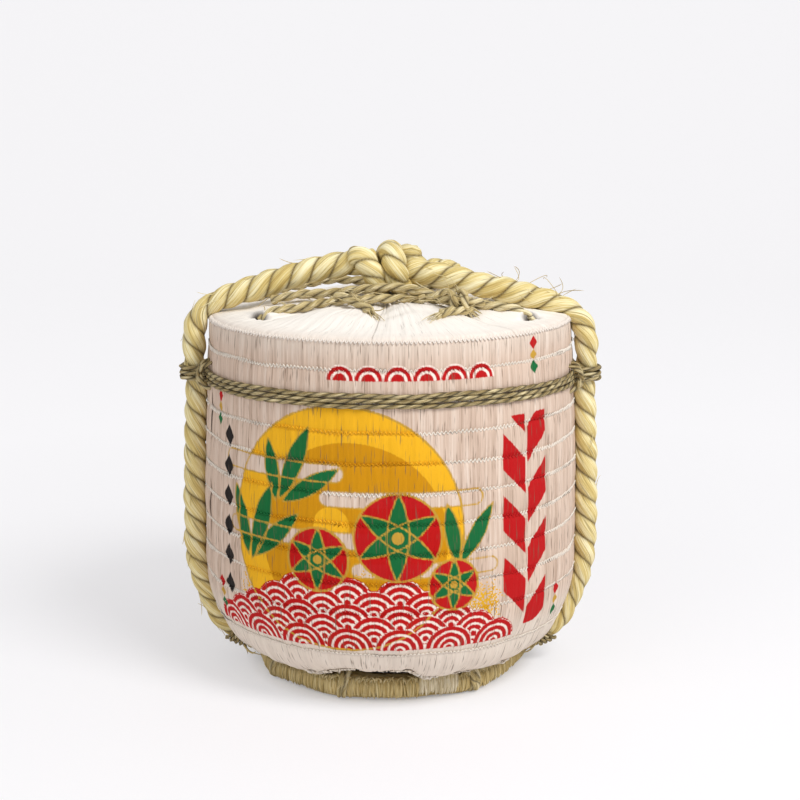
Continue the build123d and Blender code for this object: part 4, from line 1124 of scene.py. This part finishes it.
# White straw ends that hang below the mat's edge, longer in tufts
at = np.concatenate([local.uniform(0, tau, foot["hanging"])]
                    + [np.radians(local.normal(place, spread, foot["perClump"])) for place, spread in foot["clumps"]])
clump = np.max([bell((np.degrees(at) - place + 180) % 360 - 180, spread) for place, spread in foot["clumps"]], axis=0)
tufts = smoothStep(-0.2, 0.9, ringRipple(at, 22, 65)) * (1 - footGap(at)) + 1.1 * clump
rooted = local.uniform(2, 7, len(at)) + 4 * clump * local.uniform(0, 1, len(at)) + mat["gapLift"] * footGap(at)
length = local.uniform(3.0, 7.0, len(at)) + 5.0 * tufts * local.uniform(0.3, 1, len(at))
hang = matRun - mat["footShort"] - rooted[:, None] + share * length[:, None]
lift = 0.1 + 0.6 * share + np.abs(local.normal(0, 0.5, (len(at), 1))) * share ** 2
lift = lift + 0.9 * clump[:, None] * np.sin(math.pi * share)
routes = onMat(np.minimum(hang, matRun), at[:, None] + local.normal(0, 0.02, (len(at), 1)) * share, lift)
routes[..., 2] -= 0.6 * np.maximum(hang - matRun, 0)
strawPiece("mat_straw_ends", routes, local.uniform(0.35, 0.75, len(at)), 5, 0.3, limedStraw, "barrel", "mat_straw",
           crease=0.6 * local.uniform(0, 1, (len(at), 1, 1)) ** 2)

# Thin cords round the foot bundles: two slack turns at each tie, and a cut end
footTie = dict(band, radius=1.6, nestle=0.0, pitch=22.0, rows=170, step=0.5, columns=12, lobe=0.8, straws=5, ridge=0.1,
               lean=np.array([0.0, 0.03, 1.0]), turns=2.3, square=0.7, slack=1.3, floor=1.8)
turns = np.linspace(0, footTie["turns"], 57)
section = tau * turns + 0.9
wide, tall = squared(section, footTie["square"])
routes = []
for number, tieAzimuth in enumerate(foot["ties"]):
    swing = np.radians(tieAzimuth) + (turns - 1.1) * 0.034 + 0.02 * np.sin(section + number)
    reach = half + np.where(wide > 0, footSwell(swing) + footTie["slack"], -0.4)
    height = np.clip((footTop / 2 + 0.8) * (1 + tall), footTie["floor"], footTop + 2.0)
    routes.append(polar(middle + reach * wide, swing, height))
cordPiece("foot_tie_turns", routes, footTie, "barrel", "foot_tie_cords", material=lacingStraw, seed=52)
print("foot done")

# Wisps: hair-thin straws that have worked loose over the right-hand rope
wisps = {"count": 12, "thick": 0.16, "bow": 2.2, "from": ((52, 92), (-16, -4), (0, 1)),
         "reach": ((-22, 14), (-3, 10), (2, 9))}
local = np.random.default_rng(91)
start, reach = (np.stack([local.uniform(low, high, wisps["count"]) for low, high in wisps[key]], axis=-1)
                for key in ("from", "reach"))
start[:, 2] = 200.0 - 0.28 * (start[:, 0] - 66)  # along the top of the rope
lines = bowedLines(start, start + reach, wisps["bow"], 10, local)
strawPiece("loose_wisps", lines, wisps["thick"], 4, 0.0, footStraw, "top_rope", "rope_straw")

# Floor and backdrop: one pale seamless sweep, in metres
sweep = {"width": 3.2, "front": -2.6, "turnAt": 1.5, "bend": 0.7, "height": 2.4, "glowNear": 0.46, "glowFar": 0.80,
         "near": 0.12, "far": 0.6, "shadeFrom": 0.052, "shadeTo": 0.078}
arc = np.linspace(0, math.pi / 2, 24)
curve = np.stack([sweep["turnAt"] + sweep["bend"] * np.sin(arc), sweep["bend"] * (1 - np.cos(arc))], axis=-1)
line = np.concatenate([[[sweep["front"], 0.0]], curve, [[sweep["turnAt"] + sweep["bend"], sweep["height"]]]])
across = np.linspace(-sweep["width"], sweep["width"], 9)[None, :]
points = np.stack(np.broadcast_arrays(across, line[:, :1], line[:, 1:]), axis=-1) / mm
# Matt white paper, evenly lit far off and left to the barrel's own shade close by
paper, tree = newMaterial("seamless_paper")
at = addNode(tree, "TexCoord", out="Object")
fibres = addNode(tree, "TexNoise", {"Vector": at, "Scale": 900.0})
tint = addNode(tree, "ValToRGB", {"Fac": fibres}, stops=[(0.0, "#F0EFF1"), (1.0, "#F6F5F7")])
matt = addNode(tree, "BsdfPrincipled", {"Base Color": tint, "Roughness": 0.95, "Specular IOR Level": 0.1})
seen = 0.0
for ray in ("Is Camera Ray", "Is Glossy Ray", "Is Transmission Ray"):
    seen = addNode(tree, "Math", {0: seen, 1: addNode(tree, "LightPath", out=ray)}, operation="MAXIMUM")
away = addNode(tree, "VectorMath", {0: at}, out="Value", operation="LENGTH")
for near, far, low, high in ((sweep["near"], sweep["far"], sweep["glowNear"], sweep["glowFar"]),
                             (sweep["shadeFrom"], sweep["shadeTo"], 0.0, 1.0)):
    glow = addNode(tree, "MapRange", {0: away, 1: near, 2: far, 3: low, 4: high})
    seen = addNode(tree, "Math", {0: seen, 1: glow}, operation="MULTIPLY")
white = addNode(tree, "Emission", {"Color": linearColour("#FEFDFF"), "Strength": 1.0})
both = addNode(tree, "MixShader", {0: seen, 1: matt, 2: white})
addNode(tree, "OutputMaterial", {"Surface": both})
makePiece("paper_sweep", points, paper)

# Soft studio light: large key from the upper right, wide fill, white surround; places in metres
light = {"surround": 0.52, "aim": (0, 0, 0.1), "key": ((0.8, -0.8, 1.3), 18.5, 0.7),
         "fill": ((-1.0, -0.9, 0.9), 3.5, 1.2)}
world = bpy.data.worlds.new("studio")
world.use_nodes = True
surround = world.node_tree.nodes["Background"].inputs
surround["Color"].default_value = linearColour("#FFFFFF")
surround["Strength"].default_value = light["surround"]
bpy.context.scene.world = world
for name in ("key", "fill"):
    place, power, size = light[name]
    lamp = bpy.data.lights.new(name, "AREA")
    lamp.shape = "DISK"
    lamp.size = size
    lamp.energy = power
    holder = bpy.data.objects.new(name, lamp)
    holder.location = place
    aim = mathutils.Vector(light["aim"]) - holder.location
    holder.rotation_euler = aim.to_track_quat("-Z", "Y").to_euler()
    bpy.context.collection.objects.link(holder)
